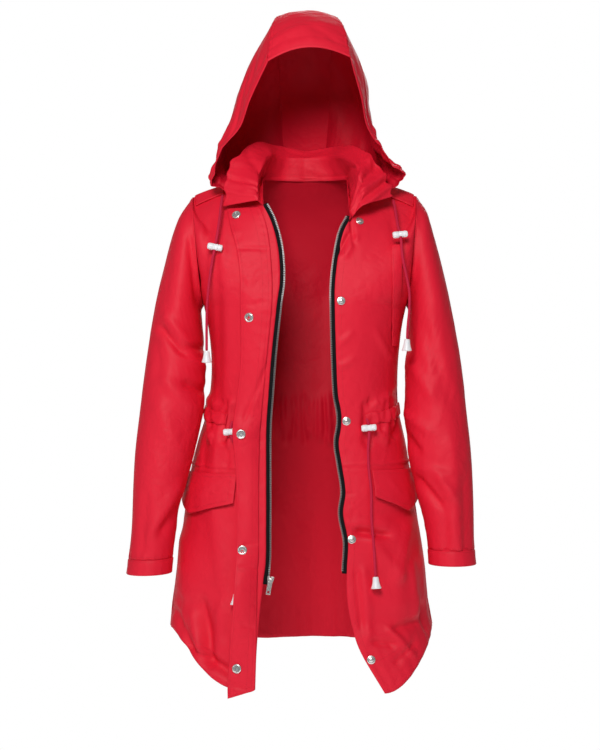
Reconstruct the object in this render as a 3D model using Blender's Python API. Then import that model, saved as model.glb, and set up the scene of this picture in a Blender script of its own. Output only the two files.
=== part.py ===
"""A hooded raincoat, hanging open and hollow as it is worn, with the pieces that a maker cuts and sews.

Sizes are in millimetres and become metres as each mesh is made. +Z is up, the fronts face -Y and the
wearer's right side is at -X. The origin lies between the shoulders, where the wearer carries the coat.

The body is a stack of levels: 0 is the neckline, 1 the level of the shoulder points, 2 the underarm,
3 the waist drawcord and 4 the hem. On a front, "across" runs from 0 at the zip to 1 at the side; on
the back it runs from 0 at the centre to 1 at the side.
"""

import math

import bpy
import numpy as np
from mathutils import Matrix, Vector

MM = 0.001

# ---------------------------------------------------------------- driving dimensions
CLOTH = 1.5          # thickness of the coat cloth as a wall
BAND = 1.5           # thickness of what is sewn on top of it
TAPE = 1.0           # thickness of a zip tape
SEAM_GAP = 0.5       # clear space between neighbouring pieces
SIDE_MARGIN = 0.002  # share of a row that is left free at a side seam
ARMHOLE_GAP = 2.6    # between a sleeve and the body, since both walls lean in there
RIGHT, LEFT = -1, 1  # the wearer's right and left, as the sign of X
FRONT, BACK = -1, 1  # as the sign of Y

NECK_SIDE = (72.0, 5.0, 19.0)   # where the shoulder seam meets the neckline
SHOULDER_BOW = 5.0              # how far the shoulder seam rises over a straight line
SHOULDER_Y = 5.0                # the shoulder and side seams lie this far behind the middle
ARMHOLE_HALF_DEPTH = 66.0

FRONT_ROUNDNESS = 2.2           # 2 is an ellipse, more is squarer
BACK_ROUNDNESS = 2.5

# level, x, y, z of the edge that the zip is sewn to
EDGE = {
    RIGHT: (
        (0.00, -70.0, -82.0, -33.0),
        (0.30, -58.0, -89.0, -56.0),
        (0.60, -50.0, -96.0, -80.0),
        (1.00, -43.5, -105.0, -113.0),
        (1.50, -41.5, -113.0, -160.0),
        (2.00, -47.0, -121.0, -205.0),
        (2.35, -55.0, -119.0, -280.0),
        (2.70, -60.0, -113.0, -345.0),
        (3.00, -64.0, -109.0, -410.0),
        (3.20, -64.0, -113.0, -480.0),
        (3.45, -64.0, -120.0, -565.0),
        (3.60, -65.0, -124.0, -625.0),
        (3.75, -74.0, -129.0, -700.0),
        (3.88, -79.0, -134.0, -765.0),
        (4.00, -81.0, -139.0, -825.0),
    ),
    LEFT: (
        (0.00, 76.0, -86.0, -54.0),
        (0.30, 64.0, -93.0, -76.0),
        (0.60, 58.0, -99.0, -98.0),
        (1.00, 52.5, -107.0, -130.0),
        (1.50, 48.5, -116.0, -170.0),
        (2.00, 48.5, -122.0, -210.0),
        (2.35, 50.5, -119.0, -284.0),
        (2.70, 53.5, -113.0, -345.0),
        (3.00, 59.0, -109.0, -398.0),
        (3.10, 55.0, -110.0, -428.0),
        (3.20, 60.0, -112.0, -462.0),
        (3.30, 66.0, -115.0, -505.0),
        (3.40, 62.0, -117.0, -540.0),
        (3.52, 70.0, -120.0, -588.0),
        (3.62, 68.0, -122.0, -632.0),
        (3.72, 68.0, -126.0, -676.0),
        (3.82, 76.0, -130.0, -722.0),
        (3.91, 90.0, -134.0, -765.0),
        (4.00, 129.0, -139.0, -831.0),
    ),
}

# level, half width on the right, half width on the left, y, z of the side seams
SIDE_SEAM = (
    (2.00, 172.0, 172.0, 5.0, -195.0),
    (2.15, 166.0, 166.0, 6.0, -222.0),
    (2.40, 160.0, 160.0, 7.0, -268.0),
    (2.75, 160.0, 157.0, 6.0, -330.0),
    (3.00, 167.0, 160.0, 5.0, -378.0),
    (3.20, 183.0, 171.0, 5.0, -430.0),
    (3.40, 197.0, 181.0, 5.0, -490.0),
    (3.60, 206.0, 192.0, 6.0, -560.0),
    (3.80, 217.0, 204.0, 8.0, -640.0),
    (3.92, 225.0, 209.0, 10.0, -695.0),
    (4.00, 229.0, 217.0, 10.0, -738.0),
)

# level, y, z of the centre back
CENTRE_BACK = (
    (0.00, 64.0, 22.0),
    (0.50, 92.0, -28.0),
    (1.00, 106.0, -75.0),
    (1.50, 114.0, -130.0),
    (2.00, 115.0, -195.0),
    (2.40, 104.0, -270.0),
    (2.75, 93.0, -335.0),
    (3.00, 88.0, -390.0),
    (3.20, 101.0, -450.0),
    (3.50, 122.0, -570.0),
    (3.75, 136.0, -680.0),
    (4.00, 146.0, -781.0),
)

# the part of a front's width over which its hem climbs to the side
HEM_CLIMB = {RIGHT: (0.12, 0.83), LEFT: (0.0, 0.95)}
BACK_HEM_CLIMB = (0.35, 1.0)

# share of the sleeve, outer x and z, inner x and z, centre y, half depth
SLEEVE = {
    RIGHT: (
        (0.00, -190.0, -12.0, -172.0, -195.0, 5.0, 66.0),
        (0.06, -204.0, -32.0, -176.0, -207.0, 4.0, 67.0),
        (0.13, -220.0, -64.0, -175.0, -224.0, 2.0, 68.0),
        (0.24, -239.0, -132.0, -172.0, -255.0, -3.0, 68.0),
        (0.36, -254.0, -200.0, -170.0, -292.0, -12.0, 66.0),
        (0.50, -268.0, -295.0, -168.0, -345.0, -26.0, 63.0),
        (0.62, -277.0, -375.0, -175.0, -398.0, -38.0, 60.0),
        (0.72, -284.0, -441.0, -187.0, -452.0, -46.0, 57.0),
        (0.82, -287.0, -505.0, -203.0, -512.0, -53.0, 53.0),
        (0.91, -288.5, -562.0, -214.0, -564.0, -58.0, 49.0),
        (1.00, -293.0, -619.0, -220.5, -617.0, -62.0, 46.0),
    ),
    LEFT: (
        (0.00, 188.0, -10.0, 172.0, -195.0, 5.0, 66.0),
        (0.06, 202.0, -31.0, 176.0, -207.0, 4.0, 67.0),
        (0.13, 214.0, -64.0, 175.0, -224.0, 2.0, 68.0),
        (0.24, 232.0, -130.0, 172.0, -255.0, -3.0, 68.0),
        (0.36, 247.0, -200.0, 170.0, -292.0, -12.0, 66.0),
        (0.50, 263.0, -296.0, 168.0, -345.0, -26.0, 63.0),
        (0.62, 271.0, -378.0, 168.0, -396.0, -38.0, 60.0),
        (0.72, 277.0, -438.0, 172.0, -446.0, -46.0, 58.0),
        (0.82, 280.0, -500.0, 184.0, -505.0, -53.0, 54.0),
        (0.91, 281.0, -555.0, 198.0, -557.0, -58.0, 49.0),
        (1.00, 281.0, -603.0, 205.0, -603.0, -62.0, 46.0),
    ),
}
CUFF_LENGTH = 26.0
CUFF_FLARE = 1.5

# The storm flap, from its top: seam x, z, free edge x, z, and how far the free edge stands off
STORM_FLAP = (
    (-74.0, -38.0, -128.5, -40.0, 5.0),
    (-64.0, -66.0, -124.0, -66.0, 5.0),
    (-58.0, -101.0, -113.5, -103.0, 6.0),
    (-54.0, -154.0, -107.0, -146.0, 6.0),
    (-54.0, -194.0, -104.5, -194.0, 6.0),
    (-58.0, -240.0, -103.0, -240.0, 6.0),
    (-64.0, -300.0, -104.0, -300.0, 6.0),
    (-70.5, -369.0, -109.5, -369.0, 12.0),
    (-73.7, -412.0, -110.5, -412.0, 21.0),
    (-75.8, -470.0, -110.0, -470.0, 12.0),
    (-76.0, -540.0, -109.0, -540.0, 10.0),
    (-76.0, -600.0, -109.3, -600.0, 12.0),
    (-78.0, -660.0, -111.0, -660.0, 22.0),
    (-78.5, -700.0, -114.0, -700.0, 20.0),
    (-79.7, -765.0, -122.5, -765.0, 7.0),
    (-81.0, -812.0, -125.0, -812.0, 5.0),
    (-82.5, -826.0, -125.0, -840.0, 4.5),
)
FLAP_SEAM_LIFT = 3.4
TAPE_WIDTH = 8.0
TAPE_END_LEVEL = 3.635

# Pocket flaps: across at the front corner, at the tip and at the side; z of the top; drops at the same three
POCKET_FLAP = {
    RIGHT: ((0.26, 0.71, 0.975), -477.0, (48.0, 69.0, 46.0)),
    LEFT: ((0.275, 0.66, 0.975), -471.0, (42.0, 70.0, 46.0)),
}
# Drawcord casing: across at its inner end, z of its middle there and at the side seam, half height
CASING = {RIGHT: (0.42, -389.0, -378.0), LEFT: (0.27, -388.0, -371.0)}
CASING_HALF = 10.0
CASING_CENTRE_BACK = -385.0

# The chest pocket's welt: x of its two sides and z, at its top and at its bottom
CHEST_POCKET = ((142.0, 160.0, -101.0), (143.0, 154.0, -266.0))

# Collar, from its front end (0) to the centre back (1): seam, roll line and free edge
COLLAR = {
    RIGHT: (
        (0.00, -71, -82, -30, -79, -91, -26, -133, -62, -33),
        (0.20, -77, -60, -17, -78, -77, 2, -134, -56, 5),
        (0.40, -78, -35, 0, -75, -52, 25, -127, -42, 35),
        (0.60, -75, -5, 20, -65, -25, 47, -107, -18, 64),
        (0.75, -69, 25, 25, -58, 12, 60, -82, 20, 84),
        (0.90, -38, 57, 27, -34, 52, 62, -44, 74, 84),
        (1.00, 0, 65, 27, 0, 62, 62, 0, 87, 78),
    ),
    LEFT: (
        (0.00, 77, -86, -49, 93, -94, -36, 146, -58, -17),
        (0.20, 77, -66, -32, 93, -84, -5, 141, -50, 6),
        (0.40, 77, -40, -6, 90, -62, 24, 129, -40, 29),
        (0.60, 75, -6, 19, 76, -30, 47, 108, -22, 58),
        (0.75, 69, 25, 25, 58, 12, 60, 82, 18, 77),
        (0.90, 38, 57, 27, 34, 52, 62, 44, 74, 82),
        (1.00, 0, 65, 27, 0, 62, 62, 0, 87, 78),
    ),
}

# Hood side panels: each row is a rib from the neck seam up to the top seam, the first at the face
HOOD_SIDE = {
    RIGHT: (
        (0.00, -88, -58, -6, -136, -42, -5, -157, -48, 12, -138, -62, 62, -108, -72, 97, -91, -88, 140, -62, -100, 200),
        (0.25, -88, -20, 14, -140, -14, 16, -151, -12, 34, -139, -20, 75, -121, -28, 128, -98, -40, 192, -56, -50, 267),
        (0.50, -82, 22, 25, -116, 40, 21, -130, 45, 42, -131, 45, 92, -115, 42, 146, -92, 36, 215, -46, 38, 298),
        (0.75, -54, 60, 27, -86, 86, 20, -101, 101, 45, -105, 112, 86, -97, 121, 130, -78, 124, 182, -45, 116, 240),
        (0.90, -38, 71, 28, -53, 86, 31, -63, 102, 50, -65, 114, 72, -59, 124, 94, -51, 131, 120, -42, 133, 150),
        (1.00, -31, 73, 27, -31.3, 74, 28, -31.5, 75, 29, -31.7, 76, 30, -31.6, 77, 31, -31.4, 78, 32, -31, 79.5, 33.5),
    ),
    LEFT: (
        (0.00, 92, -60, -8, 148, -42, -1, 165, -47, 20, 136, -58, 51, 104, -70, 96, 93, -88, 142, 74, -100, 207),
        (0.25, 88, -20, 14, 141, -12, 18, 146, -12, 36, 119, -20, 76, 108, -28, 130, 97, -40, 196, 64, -50, 269),
        (0.50, 82, 22, 25, 112, 40, 23, 122, 45, 42, 120, 45, 90, 110, 42, 146, 92, 36, 215, 48, 38, 298),
        (0.75, 54, 60, 27, 86, 86, 20, 99, 101, 45, 103, 112, 86, 96, 121, 130, 78, 124, 182, 45, 116, 240),
        (0.90, 38, 71, 28, 53, 86, 31, 63, 102, 50, 65, 114, 72, 59, 124, 94, 51, 131, 120, 42, 133, 150),
        (1.00, 31, 73, 27, 31.3, 74, 28, 31.5, 75, 29, 31.7, 76, 30, 31.6, 77, 31, 31.4, 78, 32, 31, 79.5, 33.5),
    ),
}
# The middle of the hood's centre panel at the same stations
HOOD_CENTRE = (
    (0.00, 5, -106, 223),
    (0.12, 3, -86, 255),
    (0.25, 2, -50, 285),
    (0.50, 0, 30, 306),
    (0.75, 0, 124, 246),
    (0.90, 0, 142, 152),
    (1.00, 0, 81, 31),
)
HOOD_SEAM_GAP = 2.4

# Socket snaps on the storm flap: row of STORM_FLAP, share of its width
SOCKETS = ((0.50, 0.75), (4.60, 0.71), (8.00, 0.69), (11.00, 0.73), (14.50, 0.68))
# Stud snaps on the left front: x, z
STUDS = ((90.0, -60.0), (58.5, -193.5), (67.5, -390.0), (76.0, -583.0), (107.0, -777.0))

# Drawcords: the route from the exit to the bell end, and the lock's station and long axis
CORD_RADIUS = 2.2
CORDS = {
    "hood_right": (
        ((-138, -47, -14), (-139.5, -68, -32), (-141, -88, -55), (-145, -100, -87), (-148, -103, -104),
         (-152, -103.5, -125), (-157, -102, -158), (-161.5, -100, -207), (-162, -99, -240), (-162, -98, -274.5)),
        -104.0, (1.0, 0.0, 0.0)),
    "hood_left": (
        ((147.5, -47, -22), (150, -68, -42), (153, -88, -68), (156.5, -99, -85), (160, -103, -121),
         (166, -102, -150), (171, -99, -176), (171.5, -97, -204), (168.5, -96, -240), (168, -95, -255)),
        -84.0, (1.0, 0.0, -0.12)),
}
# The waist drawcords lie on the fronts: x, z and how far their middle stands off
WAIST_CORDS = {
    "waist_left": (
        LEFT,
        ((98.5, -386, 5), (100, -392, 8), (101, -402, 9), (100.7, -438, 7), (102, -465, 6), (106, -504, 6),
         (107, -548, 8), (110, -600, 8), (112, -643.7, 10)),
        -401.0, (1.0, 0.0, -0.25)),
    "waist_right": (
        RIGHT,
        ((-116.5, -391, 5), (-117.5, -399, 8.5), (-117.5, -412, 9.3), (-112, -432, 5), (-107, -456, 4),
         (-104, -500, 3.8), (-104, -560, 3.8), (-106, -620, 5), (-110, -669.7, 9.4)),
        -408.0, (1.0, 0.0, 0.0)),
}
LOCK_LENGTH, LOCK_RADIUS, LOCK_BORE = 25.0, 5.6, 2.9
BELL = ((3.4, 0.0), (4.5, 0.8), (5.2, 5.0), (7.0, 13.0), (8.4, 17.0), (8.4, 19.0), (7.4, 19.6))

# Zip slider: the middle of its block, and its lean towards the wearer's right
SLIDER_AT = (-56.5, -128.0, -647.5)
SLIDER_LEAN = math.radians(10)
PIN_Y, PIN_Z, PIN_RADIUS, KNUCKLE_BORE = -5.4, 1.5, 0.8, 0.9

# Large folds as they show from the front: x0, z0, x1, z1, half width, height (negative is a trough)
FRONT_FOLDS = (
    (-145.0, -735.0, -190.0, -700.0, 16.0, -6.0),
    (-138.0, -775.0, -172.0, -735.0, 15.0, -6.0),
    (-170.0, -560.0, -150.0, -690.0, 22.0, -4.0),
    (95.0, -560.0, 165.0, -545.0, 17.0, -5.0),
    (115.0, -715.0, 185.0, -720.0, 19.0, -5.0),
    (150.0, -600.0, 165.0, -720.0, 20.0, 5.0),
)
# Folds of the back: the same columns
BACK_FOLDS = (
    (-140.0, -560.0, -150.0, -740.0, 24.0, 6.0),
    (-60.0, -560.0, -66.0, -770.0, 26.0, -6.0),
    (15.0, -580.0, 18.0, -775.0, 26.0, 6.0),
    (100.0, -560.0, 112.0, -765.0, 26.0, -6.0),
    (0.0, -120.0, 0.0, -330.0, 30.0, -3.0),
)


def curve_through(rows, at):
    """Reads a smooth curve through the rows, whose first column is the station, at the stations given."""
    rows = np.asarray(rows, float)
    stations, values = rows[:, 0], rows[:, 1:]
    slopes = np.gradient(values, stations, axis=0)
    at = np.asarray(at, float)
    k = np.clip(np.searchsorted(stations, at, side="right") - 1, 0, len(stations) - 2)
    length = stations[k + 1] - stations[k]
    s = ((at - stations[k]) / length)[..., None]
    length = length[..., None]
    return (
        (2 * s**3 - 3 * s**2 + 1) * values[k]
        + (s**3 - 2 * s**2 + s) * length * slopes[k]
        + (3 * s**2 - 2 * s**3) * values[k + 1]
        + (s**3 - s**2) * length * slopes[k + 1]
    )


def soft_step(x):
    """Climbs smoothly from 0 to 1 as x goes from 0 to 1."""
    x = np.clip(x, 0.0, 1.0)
    return x * x * (3 - 2 * x)


def fold_height(points, folds):
    """Sum of the folds at each point: a bell across each fold's line, fading out past its ends."""
    x, z = points[..., 0], points[..., 2]
    height = np.zeros(x.shape)
    for x0, z0, x1, z1, half_width, rise in folds:
        run = math.hypot(x1 - x0, z1 - z0)
        ux, uz = (x1 - x0) / run, (z1 - z0) / run
        s = (x - x0) * ux + (z - z0) * uz
        d = (x - x0) * -uz + (z - z0) * ux
        past = np.maximum(np.maximum(-s, s - run), 0.0)
        height += rise * np.exp(-((d / half_width) ** 2) - (past / (1.6 * half_width)) ** 2)
    return height


# ---------------------------------------------------------------- the body's surface
def side_line(side, level, half):
    """Shoulder seam, then the front or back half of the armhole, then the side seam."""
    level = np.asarray(level, float)
    outer_x, outer_z, inner_x, inner_z = SLEEVE[side][0][1:5]
    down = np.clip(level, 0, 1)
    seam_x = side * NECK_SIDE[0] + (outer_x - side * NECK_SIDE[0]) * down
    seam_z = NECK_SIDE[2] + (outer_z - NECK_SIDE[2]) * down + 4 * SHOULDER_BOW * down * (1 - down)
    turn = math.pi * np.clip(level - 1, 0, 1)
    arm_x = (outer_x + inner_x) / 2 + (outer_x - inner_x) / 2 * np.cos(turn)
    arm_z = (outer_z + inner_z) / 2 + (outer_z - inner_z) / 2 * np.cos(turn)
    arm_y = SHOULDER_Y + half * ARMHOLE_HALF_DEPTH * np.sin(turn)
    seam = curve_through(SIDE_SEAM, np.maximum(level, 2.0))
    low_x = side * seam[..., 0 if side == RIGHT else 1]
    above, below = level < 1, level > 2
    x = np.where(above, seam_x, np.where(below, low_x, arm_x))
    y = np.where(above, SHOULDER_Y, np.where(below, seam[..., 2], arm_y))
    z = np.where(above, seam_z, np.where(below, seam[..., 3], arm_z))
    return x, y, z


def climb(across, level, span):
    """How far a row has climbed from its inner end to its side end."""
    hem = soft_step((across - span[0]) / (span[1] - span[0]))
    w = soft_step(level - 3)
    return (1 - w) * (1 - np.cos(across * math.pi / 2)) + w * hem


def rounded(across, roundness):
    """The share of a quarter's width and of its depth at a place across it."""
    s = np.sin(np.clip(across, 0, 1) * math.pi / 2)
    return s, (1 - s**roundness) ** (1 / roundness)


def front_base(side, level, across):
    edge = curve_through(EDGE[side], level)
    sx, sy, sz = side_line(side, level, FRONT)
    width, depth = rounded(across, FRONT_ROUNDNESS)
    x = edge[..., 0] + (sx - edge[..., 0]) * width
    y = sy + (edge[..., 1] - sy) * depth
    z = edge[..., 2] + (sz - edge[..., 2]) * climb(across, level, HEM_CLIMB[side])
    return np.stack([x, y, z], axis=-1)


def back_base(level, across):
    """Across is -1 at the right side, 0 at the centre back and 1 at the left side."""
    middle = curve_through(CENTRE_BACK, level)
    part = np.abs(across)
    right = side_line(RIGHT, level, BACK)
    left = side_line(LEFT, level, BACK)
    sx, sy, sz = (np.where(across < 0, r, q) for r, q in zip(right, left))
    width, depth = rounded(part, BACK_ROUNDNESS)
    x = sx * width
    y = sy + (middle[..., 0] - sy) * depth
    z = middle[..., 1] + (sz - middle[..., 1]) * climb(part, level, BACK_HEM_CLIMB)
    return np.stack([x, y, z], axis=-1)


def raised(base, level, across, folds, lift, outward):
    """A surface with its folds, moved out by lift along its normal."""
    step = 1e-3
    along = base(level + step, across) - base(level - step, across)
    over = base(level, across + step) - base(level, across - step)
    n = np.cross(over, along) * outward
    n /= np.maximum(np.linalg.norm(n, axis=-1, keepdims=True), 1e-12)
    points = base(level, across)
    away = fold_height(points, folds) + lift
    return points + n * away[..., None]


def front(side, level, across, lift=0.0):
    level, across = np.broadcast_arrays(np.asarray(level, float), np.asarray(across, float))
    inside = np.clip(across, 0.002, 0.995)
    return raised(
        lambda v, t: front_base(side, v, t), level, inside, FRONT_FOLDS, lift, -side
    ) + front_base(side, level, across) - front_base(side, level, inside)


def back(level, across, lift=0.0):
    level, across = np.broadcast_arrays(np.asarray(level, float), np.asarray(across, float))
    inside = np.clip(across, -0.995, 0.995)
    return raised(back_base, level, inside, BACK_FOLDS, lift, 1) + back_base(
        level, across
    ) - back_base(level, inside)


def across_at(side, level, from_edge):
    """The across value of a place so many millimetres of x away from a front's zip edge."""
    edge = curve_through(EDGE[side], level)[..., 0]
    sx = side_line(side, level, FRONT)[0]
    return np.arcsin(np.clip(from_edge / np.abs(sx - edge), -1, 1)) * 2 / math.pi


def level_at(side, across, z):
    """The level at which a front's surface reaches the height z, by halving."""
    across, z = np.broadcast_arrays(np.asarray(across, float), np.asarray(z, float))
    low, high = np.zeros(z.shape), np.full(z.shape, 4.0)
    for _ in range(30):
        middle = (low + high) / 2
        above = front_base(side, middle, across)[..., 2] > z
        low, high = np.where(above, middle, low), np.where(above, high, middle)
    return (low + high) / 2


def on_front(side, x, z, lift=0.0):
    """The point of a front that shows at x, z from the front; below the hem it carries straight on."""
    x, z = np.broadcast_arrays(np.asarray(x, float), np.asarray(z, float))
    across = np.full(x.shape, 0.3)
    for _ in range(30):
        level = level_at(side, across, z)
        out = side * (x - curve_through(EDGE[side], level)[..., 0])
        across = (across + across_at(side, level, np.maximum(out, 0.0))) / 2
    point = front(side, level, across, lift)
    below = np.minimum(z - front_base(side, level, across)[..., 2], 0.0)
    point[..., 2] += np.where(level > 3.999, below, 0.0)
    return point


def storm_flap(row, q, lift=0.0):
    """The storm flap's outer face: row counts along STORM_FLAP, q runs from its seam to its free edge."""
    row, q = np.broadcast_arrays(np.asarray(row, float), np.asarray(q, float))
    table = [(i, *values) for i, values in enumerate(STORM_FLAP)]
    sx, sz, fx, fz, stand = np.moveaxis(curve_through(table, row), -1, 0)
    away = FLAP_SEAM_LIFT + (stand - FLAP_SEAM_LIFT) * np.sin(q * math.pi / 2)
    return on_front(RIGHT, sx + (fx - sx) * q, sz + (fz - sz) * q, away + lift)


def zip_tape(side, level, out):
    """A tape beside the zip edge, so far out from it towards the middle of the coat."""
    edge = curve_through(EDGE[side], level)
    run = curve_through(EDGE[side], level + 0.01) - curve_through(EDGE[side], level - 0.01)
    run /= np.linalg.norm(run, axis=-1, keepdims=True)
    away = np.stack([run[..., 2] * side, np.zeros(level.shape), -run[..., 0] * side], axis=-1)
    return edge[:, None, :] + away[:, None, :] * np.asarray(out)[None, :, None]


def frame_at(surface, a, b, step=0.01):
    """A point of a surface and its outward normal, facing away from the wearer (towards -Y)."""
    point = surface(a, b)
    n = np.cross(surface(a + step, b) - surface(a - step, b), surface(a, b + step) - surface(a, b - step))
    n /= np.linalg.norm(n)
    return point, n * (-1 if n[1] > 0 else 1)


def path_through(points, spacing):
    """Evenly spaced points along a smooth curve through the route points."""
    points = np.asarray(points, float)
    station = np.concatenate([[0], np.cumsum(np.linalg.norm(np.diff(points, axis=0), axis=1))])
    rows = np.column_stack([station, points])
    fine = curve_through(rows, np.linspace(0, station[-1], 400))
    walked = np.concatenate([[0], np.cumsum(np.linalg.norm(np.diff(fine, axis=0), axis=1))])
    at = np.linspace(0, walked[-1], max(4, int(walked[-1] / spacing)))
    return np.stack([np.interp(at, walked, fine[:, i]) for i in range(3)], axis=1)


# ---------------------------------------------------------------- making solids
def material(name, colour, roughness, metallic=0.0):
    made = bpy.data.materials.new(name)
    made.use_nodes = True
    shader = made.node_tree.nodes["Principled BSDF"]
    shader.inputs["Base Color"].default_value = (*colour, 1.0)
    shader.inputs["Roughness"].default_value = roughness
    shader.inputs["Metallic"].default_value = metallic
    return made


def mesh_object(name, vertices, faces, finish):
    mesh = bpy.data.meshes.new(name)
    mesh.from_pydata((np.asarray(vertices, float) * MM).tolist(), [], faces)
    mesh.shade_smooth()
    mesh.materials.append(finish)
    made = bpy.data.objects.new(name, mesh)
    bpy.context.scene.collection.objects.link(made)
    return made


def grid_faces(rows, columns, ring=False):
    """Quads between the points of a grid; a ring also joins its last column to its first."""
    faces = []
    for j in range(rows - 1):
        for i in range(columns if ring else columns - 1):
            k = (i + 1) % columns
            faces.append((j * columns + i, j * columns + k, (j + 1) * columns + k, (j + 1) * columns + i))
    return faces


def cloth(name, points, finish, wall=CLOTH, ring=False, flip=False):
    """A sheet through a grid of points, given its wall inwards by a Solidify modifier."""
    rows, columns = points.shape[:2]
    faces = grid_faces(rows, columns, ring)
    if flip:
        faces = [face[::-1] for face in faces]
    made = mesh_object(name, points.reshape(-1, 3), faces, finish)
    solid = made.modifiers.new("wall", "SOLIDIFY")
    solid.thickness = wall * MM
    solid.offset = -1.0
    return made


def turned(name, profile, sides, place, axis, finish):
    """A solid turned from (radius, height) points, standing on place along axis."""
    way = Vector(axis).normalized().to_track_quat("Z", "Y").to_matrix()
    vertices, faces = [], []
    for radius, height in profile:
        for i in range(sides):
            angle = 2 * math.pi * i / sides
            local = Vector((radius * math.cos(angle), radius * math.sin(angle), height))
            vertices.append(way @ local + Vector(place))
    count = len(profile)
    faces += grid_faces(count, sides, ring=True)
    faces.append(tuple(reversed(range(sides))))
    faces.append(tuple((count - 1) * sides + i for i in range(sides)))
    made = mesh_object(name, [tuple(v) for v in vertices], faces, finish)
    made.data.set_sharp_from_angle(angle=math.radians(40))
    return made


def cut(target, cutter):
    cutter.hide_render = True
    cutter.display_type = "WIRE"
    hole = target.modifiers.new("cut", "BOOLEAN")
    hole.operation = "DIFFERENCE"
    hole.object = cutter


def levels(*spans):
    """Levels from one number to the next, each span with its own count of steps."""
    out = [spans[0]]
    for steps, end in zip(spans[1::2], spans[2::2]):
        out += list(np.linspace(out[-1], end, steps + 1)[1:])
    return np.array(out)


# ---------------------------------------------------------------- start
for old in list(bpy.data.objects):
    bpy.data.objects.remove(old)

RED = material("raincoat_cloth", (0.67, 0.016, 0.035), 0.5)
BLACK = material("zip_tape", (0.02, 0.02, 0.02), 0.8)
NICKEL = material("nickel", (0.75, 0.73, 0.70), 0.25, 1.0)
WHITE = material("white_plastic", (0.9, 0.9, 0.92), 0.35)
CORD_RED = material("cord", (0.62, 0.012, 0.06), 0.75)

# ---------------------------------------------------------------- fronts and back
BODY_LEVELS = np.append(levels(0.0, 4, 1.0, 6, 2.0, 5, 3.0), [row[0] for row in EDGE[LEFT] if row[0] > 3])
FRONT_ACROSS = np.linspace(0.0, 1.0 - SIDE_MARGIN, 12)
BACK_ACROSS = np.linspace(-1.0 + SIDE_MARGIN, 1.0 - SIDE_MARGIN, 19)

for side, name in ((RIGHT, "front_right"), (LEFT, "front_left")):
    grid = front(side, BODY_LEVELS[:, None], FRONT_ACROSS[None, :])
    cloth(name, grid, RED, flip=side == LEFT)

cloth("back", back(BODY_LEVELS[:, None], BACK_ACROSS[None, :]), RED)


# ---------------------------------------------------------------- sleeves and cuffs
def sleeve_rings(side, shares, around):
    """Rings of the sleeve. Around is 0 at the outer side and grows towards the front."""
    row = curve_through(SLEEVE[side], shares)[:, None, :]
    c, s = np.cos(around)[None, :], np.sin(around)[None, :]
    x = (row[..., 0] + row[..., 2]) / 2 + (row[..., 0] - row[..., 2]) / 2 * c
    z = (row[..., 1] + row[..., 3]) / 2 + (row[..., 1] - row[..., 3]) / 2 * c
    y = row[..., 4] - row[..., 5] * s
    return np.stack([x, y, z], axis=-1)


SLEEVE_SHARES = levels(0.0, 3, 0.13, 4, 0.45, 7, 1.0)
SLEEVE_SIDES = 16
AROUND = np.arange(SLEEVE_SIDES) * 2 * math.pi / SLEEVE_SIDES
for side, word in ((RIGHT, "right"), (LEFT, "left")):
    rings = sleeve_rings(side, SLEEVE_SHARES, AROUND)
    rings[0, :, 0] += side * ARMHOLE_GAP
    cloth(f"sleeve_{word}", rings, RED, ring=True, flip=side == RIGHT)

    last = rings[-1]
    down = last.mean(axis=0) - rings[-2].mean(axis=0)
    down /= np.linalg.norm(down)
    middle = last.mean(axis=0)
    rim = middle + (last - middle) * (1 + CUFF_FLARE / 40.0)
    cuff = np.stack([rim + down * along for along in (SEAM_GAP, CUFF_LENGTH / 2, CUFF_LENGTH)])
    cloth(f"cuff_{word}", cuff, RED, wall=2.0, ring=True, flip=side == RIGHT)

# ---------------------------------------------------------------- hood
def hood_side(side, station, along):
    """A hood side: station runs from the face to the nape, along from the neck seam to the top seam."""
    rib = curve_through(HOOD_SIDE[side], station).reshape(len(station), -1, 3)
    stops = np.linspace(0, 1, rib.shape[1])
    out = [curve_through(np.column_stack([stops, one]), along) for one in rib]
    return np.array(out)


HOOD_STATIONS = np.array([0, 0.06, 0.14, 0.25, 0.37, 0.5, 0.63, 0.75, 0.84, 0.9, 0.95, 1.0])
HOOD_ALONG = np.linspace(0, 1, 12)
for side, word in ((RIGHT, "right"), (LEFT, "left")):
    ribs = hood_side(side, HOOD_STATIONS, HOOD_ALONG)
    last = ribs[:, -1] - ribs[:, -2]
    ribs[:, -1] -= last / np.linalg.norm(last, axis=1, keepdims=True) * HOOD_SEAM_GAP * 0.6
    cloth(f"hood_side_{word}", ribs, RED, flip=side == RIGHT)

seam_right = hood_side(RIGHT, HOOD_STATIONS, np.array([1.0]))[:, 0]
seam_left = hood_side(LEFT, HOOD_STATIONS, np.array([1.0]))[:, 0]
crown = curve_through(HOOD_CENTRE, HOOD_STATIONS)
half = np.linalg.norm(seam_left - seam_right, axis=1)[:, None] / 2
w = np.linspace(-1, 1, 7)[None, :] * (1 - HOOD_SEAM_GAP * 0.6 / half)
w = w[..., None]
panel = (
    seam_right[:, None] * (w * w - w) / 2 + crown[:, None] * (1 - w * w) + seam_left[:, None] * (w * w + w) / 2
)
cloth("hood_centre", panel, RED)


# ---------------------------------------------------------------- collar
def collar_half(side, station):
    rows = curve_through(COLLAR[side], station).reshape(len(station), 3, 3)
    seam, roll, free = rows[:, 0], rows[:, 1], rows[:, 2]
    ts = np.array([0.0, 0.5, 0.85, 1.0, 1.0, 1.0, 1.0])
    tf = np.array([0.0, 0.0, 0.0, 0.06, 0.3, 0.65, 1.0])
    rise = seam[:, None] + (roll - seam)[:, None] * ts[None, :, None]
    return rise + (free - roll)[:, None] * tf[None, :, None]


COLLAR_STATIONS = np.linspace(0, 1, 12)
collar = np.concatenate([collar_half(RIGHT, COLLAR_STATIONS), collar_half(LEFT, COLLAR_STATIONS)[::-1][1:]])
cloth("collar", collar, RED, wall=BAND)

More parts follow.
